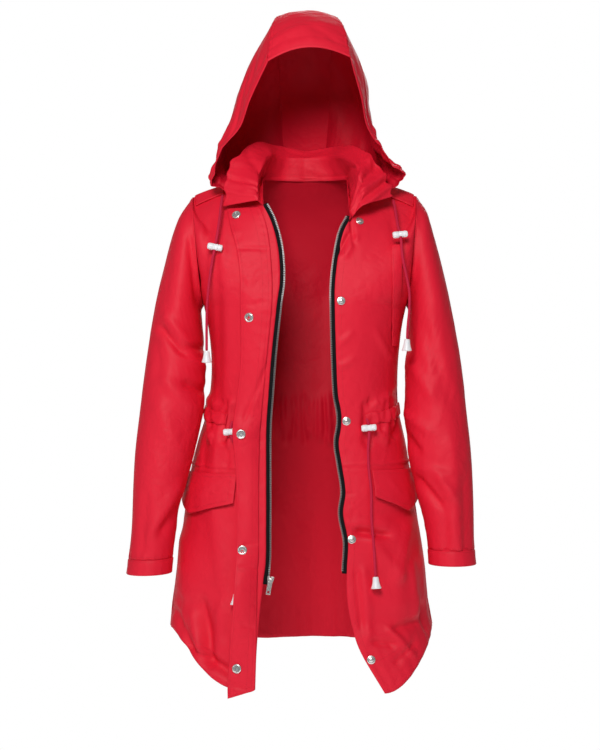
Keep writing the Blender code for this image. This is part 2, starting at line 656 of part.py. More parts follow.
# ---------------------------------------------------------------- storm flap
FLAP_ROWS = np.linspace(0, len(STORM_FLAP) - 1, 33)
cloth("storm_flap", storm_flap(FLAP_ROWS[:, None], np.linspace(0, 1, 5)[None, :]), RED, wall=BAND)

# ---------------------------------------------------------------- zip
TAPE_LEVELS = np.append(BODY_LEVELS[BODY_LEVELS < TAPE_END_LEVEL], TAPE_END_LEVEL)
for side, word in ((RIGHT, "right"), (LEFT, "left")):
    tape = zip_tape(side, TAPE_LEVELS, (TAPE_WIDTH, TAPE_WIDTH / 2, 0.9))
    cloth(f"zip_tape_{word}", tape, BLACK, wall=TAPE, flip=side == LEFT)


def box(name, middle, size, finish, round_off=0.0):
    x, y, z = middle
    a, b, c = (half / 2 for half in size)
    corners = [(x + i * a, y + j * b, z + k * c) for i in (-1, 1) for j in (-1, 1) for k in (-1, 1)]
    faces = [(0, 1, 3, 2), (4, 6, 7, 5), (0, 4, 5, 1), (2, 3, 7, 6), (0, 2, 6, 4), (1, 5, 7, 3)]
    made = mesh_object(name, corners, faces, finish)
    made.data.shade_flat()
    if round_off:
        bevel = made.modifiers.new("round", "BEVEL")
        bevel.width = round_off * MM
        bevel.segments = 2
    return made


def join(target, part):
    part.hide_render = True
    part.display_type = "WIRE"
    union = target.modifiers.new("join", "BOOLEAN")
    union.operation = "UNION"
    union.object = part


lean = Matrix.Translation(Vector(SLIDER_AT) * MM) @ Matrix.Rotation(SLIDER_LEAN, 4, "Y")
slider = box("zip_slider", (0, 0, 0), (11.0, 6.0, 10.0), NICKEL, 1.2)
parts = [slider]
for x in (-3.1, 3.1):
    lug = box(f"slider_lug_{x:+.0f}", (x, -4.9, PIN_Z), (1.4, 4.4, 3.2), NICKEL)
    join(slider, lug)
    parts.append(lug)
pin = turned("slider_pin", ((PIN_RADIUS, -3.4), (PIN_RADIUS, 3.4)), 12, (0, PIN_Y, PIN_Z), (1, 0, 0), NICKEL)
join(slider, pin)
parts.append(pin)

pull = box("zip_pull", (0, PIN_Y, -13.5), (7.6, 1.6, 21.0), NICKEL, 0.5)
neck = box("pull_neck", (0, PIN_Y, -1.6), (3.8, 1.5, 5.0), NICKEL)
knuckle = turned("pull_knuckle", ((1.9, -2.05), (1.9, 2.05)), 16, (0, PIN_Y, PIN_Z), (1, 0, 0), NICKEL)
for part in (neck, knuckle):
    join(pull, part)
bore = turned("pull_bore", ((KNUCKLE_BORE, -4.0), (KNUCKLE_BORE, 4.0)), 16, (0, PIN_Y, PIN_Z), (1, 0, 0), NICKEL)
slot = box("pull_slot", (0, PIN_Y, -20.0), (3.2, 4.0, 3.6), NICKEL)
for part in (bore, slot):
    cut(pull, part)
for part in (*parts, pull, neck, knuckle, bore, slot):
    part.data.transform(lean)


# ---------------------------------------------------------------- pockets, casing and shoulder tabs
for side, word in ((RIGHT, "right"), (LEFT, "left")):
    stops, top, drops = POCKET_FLAP[side]
    c = np.linspace(0, 1, 9)
    across = np.interp(c, (0, 0.5, 1), stops)
    drop = np.interp(c, (0, 0.5, 1), drops)
    share = np.linspace(0, 1, 5)[:, None]
    z = top - share * drop[None, :]
    across = np.broadcast_to(across, z.shape)
    lift = 3.2 + 3.0 * share**1.5
    flap = front(side, level_at(side, across, z), across, lift)
    cloth(f"pocket_flap_{word}", flap, RED, wall=BAND, flip=side == LEFT)

    inner, z_in, z_side = CASING[side]
    across = np.linspace(inner, 0.996, 9)[None, :]
    share = (across - inner) / (1 - inner)
    z = z_in + (z_side - z_in) * share + np.array([[CASING_HALF], [0.0], [-CASING_HALF]])
    lift = np.array([[2.4], [3.0], [2.4]])
    across = np.broadcast_to(across, z.shape)
    band = front(side, level_at(side, across, z), across, lift)
    cloth(f"casing_front_{word}", band, RED, wall=1.2, flip=side == LEFT)

    rows = np.linspace(0.56, 0.97, 5)[:, None]
    fore = front(side, rows, np.array([[0.875, 0.93, 0.97, 0.997]]), 2.2)
    aft = back(rows, side * np.array([[0.997, 0.97, 0.93, 0.90]]), 2.2)
    cloth(f"epaulette_{word}", np.concatenate([fore, aft], axis=1), RED, wall=BAND, flip=side == LEFT)


def back_level_at(across, z):
    low, high = np.zeros(z.shape), np.full(z.shape, 4.0)
    for _ in range(30):
        middle = (low + high) / 2
        above = back_base(middle, across)[..., 2] > z
        low, high = np.where(above, middle, low), np.where(above, high, middle)
    return (low + high) / 2


across = np.linspace(-0.996, 0.996, 21)[None, :]
side_z = np.where(across < 0, CASING[RIGHT][2], CASING[LEFT][2])
z = CASING_CENTRE_BACK + (side_z - CASING_CENTRE_BACK) * across**2
z = z + np.array([[CASING_HALF], [0.0], [-CASING_HALF]])
across = np.broadcast_to(across, z.shape)
cloth("casing_back", back(back_level_at(across, z), across, np.array([[3.8], [4.4], [3.8]])), RED, wall=1.2)

top, bottom = np.array(CHEST_POCKET)
rows = top + (bottom - top) * np.linspace(0, 1, 10)[:, None]
x = rows[:, :1] + (rows[:, 1:2] - rows[:, :1]) * np.linspace(0, 1, 4)
patch = on_front(LEFT, x, rows[:, 2:], 3.0)
cloth("chest_pocket", patch, RED, wall=BAND, flip=True)

# ---------------------------------------------------------------- snaps
SOCKET = ((7.6, 0.0), (7.8, 1.2), (6.6, 2.3), (4.4, 2.3), (3.6, 1.0))
STUD = ((6.9, 0.0), (6.9, 0.8), (3.4, 1.6), (2.5, 3.4), (1.2, 3.9))
for i, (row, q) in enumerate(SOCKETS, 1):
    point, normal = frame_at(lambda a, b: storm_flap(a, b), row, q)
    turned(f"snap_socket_{i}", SOCKET, 12, point + normal * 0.9, normal, NICKEL)
for i, (x, z) in enumerate(STUDS, 1):
    point, normal = frame_at(lambda a, b: on_front(LEFT, a, b), x, z, 0.5)
    turned(f"snap_stud_{i}", STUD, 12, point + normal * 0.9, normal, NICKEL)

# ---------------------------------------------------------------- drawcords, cord locks and bell ends
routes = dict(CORDS)
for name, (side, rows, lock_z, lock_axis) in WAIST_CORDS.items():
    x, z, lift = np.array(rows).T
    routes[name] = (on_front(side, x, z, lift), lock_z, lock_axis)
for name, (route, lock_z, lock_axis) in routes.items():
    path = path_through(route, 10.0)
    curve = bpy.data.curves.new(f"cord_{name}", "CURVE")
    curve.dimensions = "3D"
    line = curve.splines.new("POLY")
    line.points.add(len(path) - 1)
    for point, at in zip(line.points, path):
        point.co = (*(at * MM), 1.0)
    curve.bevel_depth = CORD_RADIUS * MM
    curve.bevel_resolution = 2
    curve.use_fill_caps = True
    curve.materials.append(CORD_RED)
    bpy.context.scene.collection.objects.link(bpy.data.objects.new(f"cord_{name}", curve))

    end = path[-1]
    down = path[-1] - path[-2]
    down /= np.linalg.norm(down)
    turned(f"bell_{name}", BELL, 12, end + down * 0.4, down, WHITE)

    fine = path_through(route, 0.5)
    near = int(np.argmin(np.abs(fine[:, 2] - lock_z)))
    way = fine[min(near + 12, len(fine) - 1)] - fine[max(near - 12, 0)]
    way /= np.linalg.norm(way)
    axis = np.array(lock_axis) - way * np.dot(lock_axis, way)
    r, h = LOCK_RADIUS, LOCK_LENGTH / 2
    barrel = ((r * 0.55, -h), (r * 0.9, -h + 1.2), (r, -h + 3), (r * 0.96, -1), (r * 0.96, 1), (r, h - 3), (r * 0.9, h - 1.2), (r * 0.55, h))
    lock = turned(f"lock_{name}", barrel, 12, fine[near], axis, WHITE)
    hole = turned(f"lock_bore_{name}", ((LOCK_BORE, -12), (LOCK_BORE, 12)), 12, fine[near], way, WHITE)
    cut(lock, hole)
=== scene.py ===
"""The looks of a hooded raincoat that hangs open as it is worn, built on the frame of its solids.

Sizes are in millimetres and become metres as each mesh is made. The wearer's right side is at -X and the
fronts face -Y. The body is a stack of levels, as its tables say, and across runs from the zip to the side.
"""

import math

import bpy
import numpy as np
from mathutils import Matrix, Vector


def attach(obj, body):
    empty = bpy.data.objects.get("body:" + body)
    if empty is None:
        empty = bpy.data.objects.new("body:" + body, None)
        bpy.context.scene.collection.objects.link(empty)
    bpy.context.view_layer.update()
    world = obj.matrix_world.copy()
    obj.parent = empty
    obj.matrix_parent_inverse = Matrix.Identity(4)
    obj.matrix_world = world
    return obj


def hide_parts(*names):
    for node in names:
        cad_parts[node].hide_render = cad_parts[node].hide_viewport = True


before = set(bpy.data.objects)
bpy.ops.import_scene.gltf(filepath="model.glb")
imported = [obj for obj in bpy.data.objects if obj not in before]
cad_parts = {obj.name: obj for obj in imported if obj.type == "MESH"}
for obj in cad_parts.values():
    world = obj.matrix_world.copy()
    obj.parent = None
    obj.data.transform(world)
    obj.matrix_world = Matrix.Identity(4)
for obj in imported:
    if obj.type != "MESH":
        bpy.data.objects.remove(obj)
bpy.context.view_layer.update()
MM = 0.001
COAT = "coat"

# ---- Camera and studio. The camera stands straight in front, three metres off, near the coat's mid height.
# The key light hangs above in front, a weak one stands at the wearer's right and a third hangs behind. The
# room is grey and turns white only straight ahead, as the photo's wall is; the floor is white too.
VIEW_DISTANCE, VIEW_ASIDE, VIEW_HEIGHT, VIEW_SPAN = 3.0, -0.0085, -0.3145, 1.275
SENSOR_HEIGHT = 24.0
camera = bpy.data.objects.new("camera", bpy.data.cameras.new("camera"))
camera.location = (VIEW_ASIDE, -VIEW_DISTANCE, VIEW_HEIGHT)
camera.rotation_euler = (math.pi / 2, 0.0, 0.0)
camera.data.sensor_fit = "VERTICAL"
camera.data.sensor_height = SENSOR_HEIGHT
camera.data.lens = SENSOR_HEIGHT * VIEW_DISTANCE / VIEW_SPAN
bpy.context.scene.collection.objects.link(camera)
bpy.context.scene.camera = camera
bpy.context.scene.view_settings.view_transform = "Standard"

world = bpy.data.worlds.new("studio")
world.use_nodes = True
nodes, links = world.node_tree.nodes, world.node_tree.links
way, split, ramp = (nodes.new(f"ShaderNode{kind}") for kind in ("TexCoord", "SeparateXYZ", "ValToRGB"))
# how far a direction faces the wall, and the colour there
WALL_STOPS = ((0.80, (0.16, 0.16, 0.16, 1.0)), (0.95, (1.0, 1.0, 1.0, 1.0)))
for stop, (place, colour) in zip(ramp.color_ramp.elements, WALL_STOPS):
    stop.position, stop.color = place, colour
links.new(way.outputs["Generated"], split.inputs["Vector"])
links.new(split.outputs["Y"], ramp.inputs["Fac"])
links.new(ramp.outputs["Color"], nodes["Background"].inputs["Color"])
bpy.context.scene.world = world

LIGHTS_AIM = Vector((0.0, 0.0, -0.25))
# name, place, size, power
for name, place, size, power in (
    ("key", (-0.40, -2.6, 1.2), 1.0, 62.0),
    ("side_right", (-2.6, -1.0, 0.1), 1.2, 5.0),
    ("back", (0.4, 2.8, 1.3), 1.6, 40.0),
):
    light = bpy.data.objects.new(name, bpy.data.lights.new(name, "AREA"))
    light.data.size = size
    light.data.energy = power
    light.location = place
    light.rotation_euler = (LIGHTS_AIM - Vector(place)).to_track_quat("-Z", "Y").to_euler()
    bpy.context.scene.collection.objects.link(light)

FLOOR_HALF, FLOOR_Z = 2.6, -1.52
floor_corners = [(x * FLOOR_HALF, y * FLOOR_HALF, FLOOR_Z) for x, y in ((-1, -1), (1, -1), (1, 1), (-1, 1))]
floor_mesh = bpy.data.meshes.new("floor")
floor_mesh.from_pydata(floor_corners, [], [(0, 1, 2, 3)])
floor = bpy.data.objects.new("floor", floor_mesh)
floor_finish = bpy.data.materials.new("floor")
floor_finish.use_nodes = True
for socket, value in (
    ("Base Color", (0.9, 0.9, 0.9, 1.0)),
    ("Roughness", 1.0),
    ("Specular IOR Level", 0.0),
    ("Emission Color", (1.0, 1.0, 1.0, 1.0)),
    ("Emission Strength", 0.35),
):
    floor_finish.node_tree.nodes["Principled BSDF"].inputs[socket].default_value = value
floor_mesh.materials.append(floor_finish)
bpy.context.scene.collection.objects.link(floor)


# ---- Drawcords. Two hang from the hood's front corners and two from the waist, each a braided cord held
# in a cord lock and ended by a bell. The waist cords lie on the fronts, so the coat's surface starts here.
RIGHT, LEFT = -1, 1
FRONT, BACK = -1, 1
NECK_SIDE = (72.0, 5.0, 19.0)   # where the shoulder seam meets the neckline
SHOULDER_BOW = 5.0              # how far the shoulder seam rises over a straight line
SHOULDER_Y = 5.0                # the shoulder and side seams lie this far behind the middle
ARMHOLE_HALF_DEPTH = 66.0
HEM_LEVEL = 4.0                 # shoulder tip 1, underarm 2, waist 3
FRONT_ROUNDNESS = 2.2           # 2 is an ellipse, more is squarer
BACK_ROUNDNESS = 2.5

# level, x, y, z of the edge that the zip is sewn to
EDGE = {
    RIGHT: (
        (0, -70, -82, -33), (0.3, -58, -89, -56), (0.6, -50, -96, -80), (1, -43.5, -105, -113),
        (1.5, -41.5, -113, -160), (2, -47, -121, -205), (2.35, -55, -119, -280), (2.7, -60, -113, -345),
        (3, -64, -109, -410), (3.2, -64, -113, -480), (3.45, -64, -120, -565), (3.6, -65, -124, -625),
        (3.75, -74, -129, -700), (3.88, -79, -134, -765), (4, -81, -139, -825),
    ),
    LEFT: (
        (0, 76, -86, -54), (0.3, 64, -93, -76), (0.6, 58, -99, -98), (1, 52.5, -107, -130),
        (1.5, 48.5, -116, -170), (2, 48.5, -122, -210), (2.35, 50.5, -119, -284), (2.7, 53.5, -113, -345),
        (3, 59, -109, -398), (3.1, 55, -110, -428), (3.2, 60, -112, -462), (3.3, 66, -115, -505),
        (3.4, 62, -117, -540), (3.52, 70, -120, -588), (3.62, 68, -122, -632), (3.72, 68, -126, -676),
        (3.82, 76, -130, -722), (3.91, 90, -134, -765), (4, 129, -139, -831),
    ),
}

# level, half width on the right, half width on the left, y, z of the side seams
SIDE_SEAM = (
    (2, 172, 172, 5, -195), (2.15, 166, 166, 6, -222), (2.4, 160, 160, 7, -268),
    (2.75, 160, 157, 6, -330), (3, 167, 160, 5, -378), (3.2, 183, 171, 5, -430), (3.4, 197, 181, 5, -490),
    (3.6, 206, 192, 6, -560), (3.8, 217, 204, 8, -640), (3.92, 225, 209, 10, -695),
    (4, 229, 217, 10, -738),
)

# level, y, z of the centre back
CENTRE_BACK = (
    (0, 64, 22), (0.5, 92, -28), (1, 106, -75), (1.5, 114, -130), (2, 115, -195), (2.4, 104, -270),
    (2.75, 93, -335), (3, 88, -390), (3.2, 101, -450), (3.5, 122, -570), (3.75, 136, -680),
    (4, 146, -781),
)

# the part of a front's width over which its hem climbs to the side
HEM_CLIMB = {RIGHT: (0.12, 0.83), LEFT: (0.0, 0.95)}
BACK_HEM_CLIMB = (0.35, 1.0)

# share of the sleeve, outer x and z, inner x and z, centre y, half depth
SLEEVE = {
    RIGHT: (
        (0, -190, -12, -172, -195, 5, 66), (0.06, -204, -32, -176, -207, 4, 67),
        (0.13, -220, -64, -175, -224, 2, 68), (0.24, -239, -132, -172, -255, -3, 68),
        (0.36, -254, -200, -170, -292, -12, 66), (0.5, -268, -295, -168, -345, -26, 63),
        (0.62, -277, -375, -175, -398, -38, 60), (0.72, -284, -441, -187, -452, -46, 57),
        (0.82, -287, -505, -203, -512, -53, 53), (0.91, -288.5, -562, -214, -564, -58, 49),
        (1, -293, -619, -220.5, -617, -62, 46),
    ),
    LEFT: (
        (0, 188, -10, 172, -195, 5, 66), (0.06, 202, -31, 176, -207, 4, 67),
        (0.13, 214, -64, 175, -224, 2, 68), (0.24, 232, -130, 172, -255, -3, 68),
        (0.36, 247, -200, 170, -292, -12, 66), (0.5, 263, -296, 168, -345, -26, 63),
        (0.62, 271, -378, 168, -396, -38, 60), (0.72, 277, -438, 172, -446, -46, 58),
        (0.82, 280, -500, 184, -505, -53, 54), (0.91, 281, -555, 198, -557, -58, 49),
        (1, 281, -603, 205, -603, -62, 46),
    ),
}

# Large folds as they show from the front: x0, z0, x1, z1, half width, height (negative is a trough)
FRONT_FOLDS = (
    (-145, -735, -190, -700, 16, -6), (-138, -775, -172, -735, 15, -6), (-170, -560, -150, -690, 22, -4),
    (95, -560, 165, -545, 17, -5), (115, -715, 185, -720, 19, -5), (150, -600, 165, -720, 20, 5),
)
# Folds of the back: the same columns
BACK_FOLDS = (
    (-140, -560, -150, -740, 24, 6), (-60, -560, -66, -770, 26, -6), (15, -580, 18, -775, 26, 6),
    (100, -560, 112, -765, 26, -6), (0, -120, 0, -330, 30, -3),
)


def curve_through(rows, at):
    """Reads a smooth curve through the rows, whose first column is the station, at the stations given. It is
    a cubic between each two rows, and its slope at a row is read from the rows beside it."""
    rows = np.asarray(rows, float)
    stations, values = rows[:, 0], rows[:, 1:]
    slopes = np.gradient(values, stations, axis=0)
    at = np.asarray(at, float)
    k = np.clip(np.searchsorted(stations, at, side="right") - 1, 0, len(stations) - 2)
    length = stations[k + 1] - stations[k]
    s = ((at - stations[k]) / length)[..., None]
    length = length[..., None]
    return (
        (2 * s**3 - 3 * s**2 + 1) * values[k]
        + (s**3 - 2 * s**2 + s) * length * slopes[k]
        + (3 * s**2 - 2 * s**3) * values[k + 1]
        + (s**3 - s**2) * length * slopes[k + 1]
    )


NUDGE = 1e-3          # the step over which a surface's normal is read
NEAR_SEAM = 0.995     # it is read no nearer to a side seam than this


def soft_step(x):
    """Climbs smoothly from 0 to 1 as x goes from 0 to 1."""
    x = np.clip(x, 0.0, 1.0)
    return x * x * (3 - 2 * x)


def unit(vectors):
    """Vectors of length 1."""
    return vectors / np.maximum(np.linalg.norm(vectors, axis=-1, keepdims=True), 1e-12)


def walked_along(line):
    """The run along a line at each of its points."""
    return np.concatenate([[0], np.cumsum(np.linalg.norm(np.diff(line, axis=0), axis=1))])


def points_at(line, walked, at):
    """The points of a line at the runs given, by straight mixing."""
    return np.stack([np.interp(at, walked, line[:, i]) for i in range(3)], axis=1)


def fold_height(points, folds):
    """Sum of the folds at each point: a bell across each fold's line, fading out past its ends."""
    x, z = points[..., 0], points[..., 2]
    height = np.zeros(x.shape)
    for x0, z0, x1, z1, half_width, rise in folds:
        run = math.hypot(x1 - x0, z1 - z0)
        ux, uz = (x1 - x0) / run, (z1 - z0) / run
        s = (x - x0) * ux + (z - z0) * uz
        d = (x - x0) * -uz + (z - z0) * ux
        past = np.maximum(np.maximum(-s, s - run), 0.0)
        height += rise * np.exp(-((d / half_width) ** 2) - (past / (1.6 * half_width)) ** 2)
    return height


def side_line(side, level, half):
    """Shoulder seam, then the front or back half of the armhole, then the side seam."""
    level = np.asarray(level, float)
    outer_x, outer_z, inner_x, inner_z = SLEEVE[side][0][1:5]
    down = np.clip(level, 0, 1)
    seam_x = side * NECK_SIDE[0] + (outer_x - side * NECK_SIDE[0]) * down
    seam_z = NECK_SIDE[2] + (outer_z - NECK_SIDE[2]) * down + 4 * SHOULDER_BOW * down * (1 - down)
    turn = math.pi * np.clip(level - 1, 0, 1)
    arm_x = (outer_x + inner_x) / 2 + (outer_x - inner_x) / 2 * np.cos(turn)
    arm_z = (outer_z + inner_z) / 2 + (outer_z - inner_z) / 2 * np.cos(turn)
    arm_y = SHOULDER_Y + half * ARMHOLE_HALF_DEPTH * np.sin(turn)
    seam = curve_through(SIDE_SEAM, np.maximum(level, 2.0))
    low_x = side * seam[..., 0 if side == RIGHT else 1]
    above, below = level < 1, level > 2
    x = np.where(above, seam_x, np.where(below, low_x, arm_x))
    y = np.where(above, SHOULDER_Y, np.where(below, seam[..., 2], arm_y))
    z = np.where(above, seam_z, np.where(below, seam[..., 3], arm_z))
    return x, y, z


def climb(across, level, span):
    """How far a row has climbed from its inner end to its side end."""
    hem = soft_step((across - span[0]) / (span[1] - span[0]))
    w = soft_step(level - 3)
    return (1 - w) * (1 - np.cos(across * math.pi / 2)) + w * hem


def rounded(across, roundness):
    """The share of a quarter's width and of its depth at a place across it."""
    s = np.sin(np.clip(across, 0, 1) * math.pi / 2)
    return s, (1 - s**roundness) ** (1 / roundness)


def front_base(side, level, across):
    """A front without folds: a rounded quarter from its zip edge to its side line."""
    edge = curve_through(EDGE[side], level)
    sx, sy, sz = side_line(side, level, FRONT)
    width, depth = rounded(across, FRONT_ROUNDNESS)
    x = edge[..., 0] + (sx - edge[..., 0]) * width
    y = sy + (edge[..., 1] - sy) * depth
    z = edge[..., 2] + (sz - edge[..., 2]) * climb(across, level, HEM_CLIMB[side])
    return np.stack([x, y, z], axis=-1)


def back_base(level, across):
    """The back without folds: across is -1 at the right side, 0 at the centre and 1 at the left side."""
    middle = curve_through(CENTRE_BACK, level)
    part = np.abs(across)
    right = side_line(RIGHT, level, BACK)
    left = side_line(LEFT, level, BACK)
    sx, sy, sz = (np.where(across < 0, r, q) for r, q in zip(right, left))
    width, depth = rounded(part, BACK_ROUNDNESS)
    x = sx * width
    y = sy + (middle[..., 0] - sy) * depth
    z = middle[..., 1] + (sz - middle[..., 1]) * climb(part, level, BACK_HEM_CLIMB)
    return np.stack([x, y, z], axis=-1)


def raised(base, level, across, inner, outer, folds, lift, outward):
    """A surface with its folds, moved out by lift along its normal, which is read from inner to outer."""
    level, across = np.broadcast_arrays(np.asarray(level, float), np.asarray(across, float))
    inside = np.clip(across, inner, outer)
    along = base(level + NUDGE, inside) - base(level - NUDGE, inside)
    over = base(level, inside + NUDGE) - base(level, inside - NUDGE)
    away = fold_height(base(level, inside), folds) + lift
    return base(level, across) + unit(np.cross(over, along) * outward) * away[..., None]


def front(side, level, across, lift=0.0, creases=()):
    """A front's outer face: level runs down it, across from its zip edge to its side seam."""
    folds = (*FRONT_FOLDS, *creases)
    return raised(lambda v, t: front_base(side, v, t), level, across, 0.002, NEAR_SEAM, folds, lift, -side)


def back(level, across, lift=0.0, creases=()):
    """The back's outer face: level runs down it, across from its right side seam to its left one."""
    return raised(back_base, level, across, -NEAR_SEAM, NEAR_SEAM, (*BACK_FOLDS, *creases), lift, 1)


def across_at(side, level, from_edge):
    """The across value of a place so many millimetres of x away from a front's zip edge."""
    edge = curve_through(EDGE[side], level)[..., 0]
    sx = side_line(side, level, FRONT)[0]
    return np.arcsin(np.clip(from_edge / np.abs(sx - edge), -1, 1)) * 2 / math.pi


def level_at(base, across, z):
    """The level at which a surface reaches the height z, by halving."""
    across, z = np.broadcast_arrays(np.asarray(across, float), np.asarray(z, float))
    low, high = np.zeros(z.shape), np.full(z.shape, HEM_LEVEL)
    for _ in range(22):
        middle = (low + high) / 2
        above = base(middle, across)[..., 2] > z
        low, high = np.where(above, middle, low), np.where(above, high, middle)
    return (low + high) / 2


def front_level_at(side, across, z):
    """The level at which a front reaches the height z."""
    return level_at(lambda v, t: front_base(side, v, t), across, z)


def on_front(side, x, z, lift=0.0):
    """The point of a front that shows at x, z from the front; below the hem it carries straight on."""
    x, z = np.broadcast_arrays(np.asarray(x, float), np.asarray(z, float))
    across = np.full(x.shape, 0.3)
    for _ in range(20):
        level = front_level_at(side, across, z)
        out = side * (x - curve_through(EDGE[side], level)[..., 0])
        across = (across + across_at(side, level, np.maximum(out, 0.0))) / 2
    point = front(side, level, across, lift)
    below = np.minimum(z - front_base(side, level, across)[..., 2], 0.0)
    point[..., 2] += np.where(level > HEM_LEVEL - NUDGE, below, 0.0)
    return point


def path_through(points, spacing):
    """Evenly spaced points along a smooth curve through the route points."""
    points = np.asarray(points, float)
    rows = np.column_stack([walked_along(points), points])
    fine = curve_through(rows, np.linspace(0, rows[-1, 0], 400))
    walked = walked_along(fine)
    return points_at(fine, walked, np.linspace(0, walked[-1], max(4, int(walked[-1] / spacing))))


# The cords' routes from the exit to the bell end, then the lock's station and long axis
CORDS = {
    "hood_right": (
        ((-138, -47, -14), (-139.5, -68, -32), (-141, -88, -55), (-145, -100, -87), (-148, -103, -104),
         (-152, -103.5, -125), (-157, -102, -158), (-161.5, -100, -207), (-162, -99, -240),
         (-162, -98, -274.5)),
        -104.0, (1.0, 0.0, 0.0)),
    "hood_left": (
        ((147.5, -47, -22), (150, -68, -42), (153, -88, -68), (156.5, -99, -85), (160, -103, -121),
         (166, -102, -150), (171, -99, -176), (171.5, -97, -204), (168.5, -96, -240), (168, -95, -255)),
        -84.0, (1.0, 0.0, -0.12)),
}
# The waist drawcords lie on the fronts: x, z and how far their middle stands off
WAIST_CORDS = {
    "waist_left": (
        LEFT,
        ((98.5, -386, 5), (100, -392, 8), (101, -402, 9), (100.7, -438, 7), (102, -465, 6), (106, -504, 6),
         (107, -548, 8), (110, -600, 8), (112, -643.7, 10)),
        -401.0, (1.0, 0.0, -0.25)),
    "waist_right": (
        RIGHT,
        ((-116.5, -391, 5), (-117.5, -399, 8.5), (-117.5, -412, 9.3), (-112, -432, 5), (-107, -456, 4),
         (-104, -500, 3.8), (-104, -560, 3.8), (-106, -620, 5), (-110, -669.7, 9.4)),
        -408.0, (1.0, 0.0, 0.0)),
}
CORD_RADIUS, CORD_SIDES, CORD_STEP = 2.2, 14, 2.0
DRAWN_IN = 0.72         # share of its radius that a cord keeps at its two ends
INTO_BELL = 0.4         # the bell's mouth lies this far past the cord's end
BESIDE_LOCK = 3         # the cord's way through its lock is read this many steps to either side
LOCK_BORE, BORE_HALF = 2.9, 12
PLASTIC_SIDES = 32
SHARP = math.radians(35)    # edges of turned pieces that are steeper than this stay crisp
# radius and depth below the cord's end, from the mouth round to the closed foot
BELL = (
    (2.3, 0.4), (3.2, 0.0), (4.1, 0.3), (4.7, 1.2), (5.0, 3.0), (5.1, 5.0), (5.6, 8.5), (6.5, 12.5),
    (7.7, 16.4), (8.3, 17.4), (8.4, 18.3), (8.0, 19.0), (7.3, 19.4), (6.2, 18.9), (5.6, 17.4), (0.1, 17.0),
)
# radius and place along the lock, with the push button's step on its second half
LOCK = (
    (0.1, -12.5), (3.3, -12.5), (4.4, -12.0), (5.1, -10.9), (5.6, -9.0), (5.6, -3.2), (5.2, -2.6),
    (5.2, -1.8), (5.6, -1.2), (5.6, 3.6), (5.4, 4.3), (4.6, 4.5), (4.6, 5.2), (5.2, 5.6), (5.4, 6.4),
    (5.4, 9.6), (5.0, 11.3), (4.2, 12.2), (3.1, 12.5), (0.1, 12.5),
)


class Field:
    """A shader socket with arithmetic, so that a material reads as a formula."""

    def __init__(self, tree, socket):
        self.tree, self.socket = tree, socket

    def node(self, kind, inputs=(), output=0, **settings):
        made = self.tree.nodes.new(kind)
        for name, value in settings.items():
            setattr(made, name, value)
        for key, value in dict(inputs).items():
            if isinstance(value, Field):
                self.tree.links.new(value.socket, made.inputs[key])
            else:
                made.inputs[key].default_value = value
        return Field(self.tree, made.outputs[output])

    def calc(self, operation, *values):
        return self.node("ShaderNodeMath", enumerate(values), operation=operation)

    def noise(self, scale, detail=3.0):
        inputs = {"Vector": self, "Scale": scale, "Detail": detail, "Roughness": 0.5}
        return self.node("ShaderNodeTexNoise", inputs)

    def axis(self, name):
        return self.node("ShaderNodeSeparateXYZ", {0: self}, output=name)

    def __add__(self, other):
        return self.calc("ADD", self, other)

    def __mul__(self, other):
        return self.calc("MULTIPLY", self, other)

    def __sub__(self, other):
        return self.calc("SUBTRACT", self, other)


TINT_SCALE, TINT_SHADE = 14.0, 0.55


def finish_with(name, colour, roughness, metallic=0.0, gloss=0.5, tint=0.0, build=None):
    """A Principled material. build takes the Object and UV fields and returns the height in metres, or None;
    tint is how far a broad noise darkens the colour."""
    made = bpy.data.materials.new(name)
    made.use_nodes = True
    tree = made.node_tree
    shader = tree.nodes["Principled BSDF"]
    shader.inputs["Base Color"].default_value = (*colour, 1.0)
    shader.inputs["Roughness"].default_value = roughness
    shader.inputs["Metallic"].default_value = metallic
    shader.inputs["Specular IOR Level"].default_value = gloss
    coordinates = tree.nodes.new("ShaderNodeTexCoord")
    place, uv = Field(tree, coordinates.outputs["Object"]), Field(tree, coordinates.outputs["UV"])
    if tint:
        shade = tuple(c * TINT_SHADE for c in colour)
        inputs = {0: place.noise(TINT_SCALE) * tint, 6: (*colour, 1.0), 7: (*shade, 1.0)}
        mixed = place.node("ShaderNodeMix", inputs, output=2, data_type="RGBA")
        tree.links.new(mixed.socket, shader.inputs["Base Color"])
    if build:
        inputs = {"Height": build(place, uv), "Distance": 1.0, "Strength": 1.0}
        bump = place.node("ShaderNodeBump", inputs)
        tree.links.new(bump.socket, shader.inputs["Normal"])
    return made


BRAID_STRANDS, BRAID_RUN, BRAID_HEIGHT = 4, 2200.0, 0.00022


def waves(one, two):
    """The product of two waves, from their angles."""
    return one.calc("SINE", one) * two.calc("SINE", two)


def braid(place, uv):
    """Height of a braid: two sets of strands wind opposite ways round the cord and cross."""
    turns, run = uv.axis("X") * (2 * math.pi * BRAID_STRANDS), uv.axis("Y") * BRAID_RUN
    return waves(turns + run, turns - run) * BRAID_HEIGHT


CORD_RED = finish_with("cord", (0.60, 0.014, 0.055), 0.8, gloss=0.25, build=braid)
WHITE = finish_with("white_plastic", (0.88, 0.88, 0.90), 0.32)


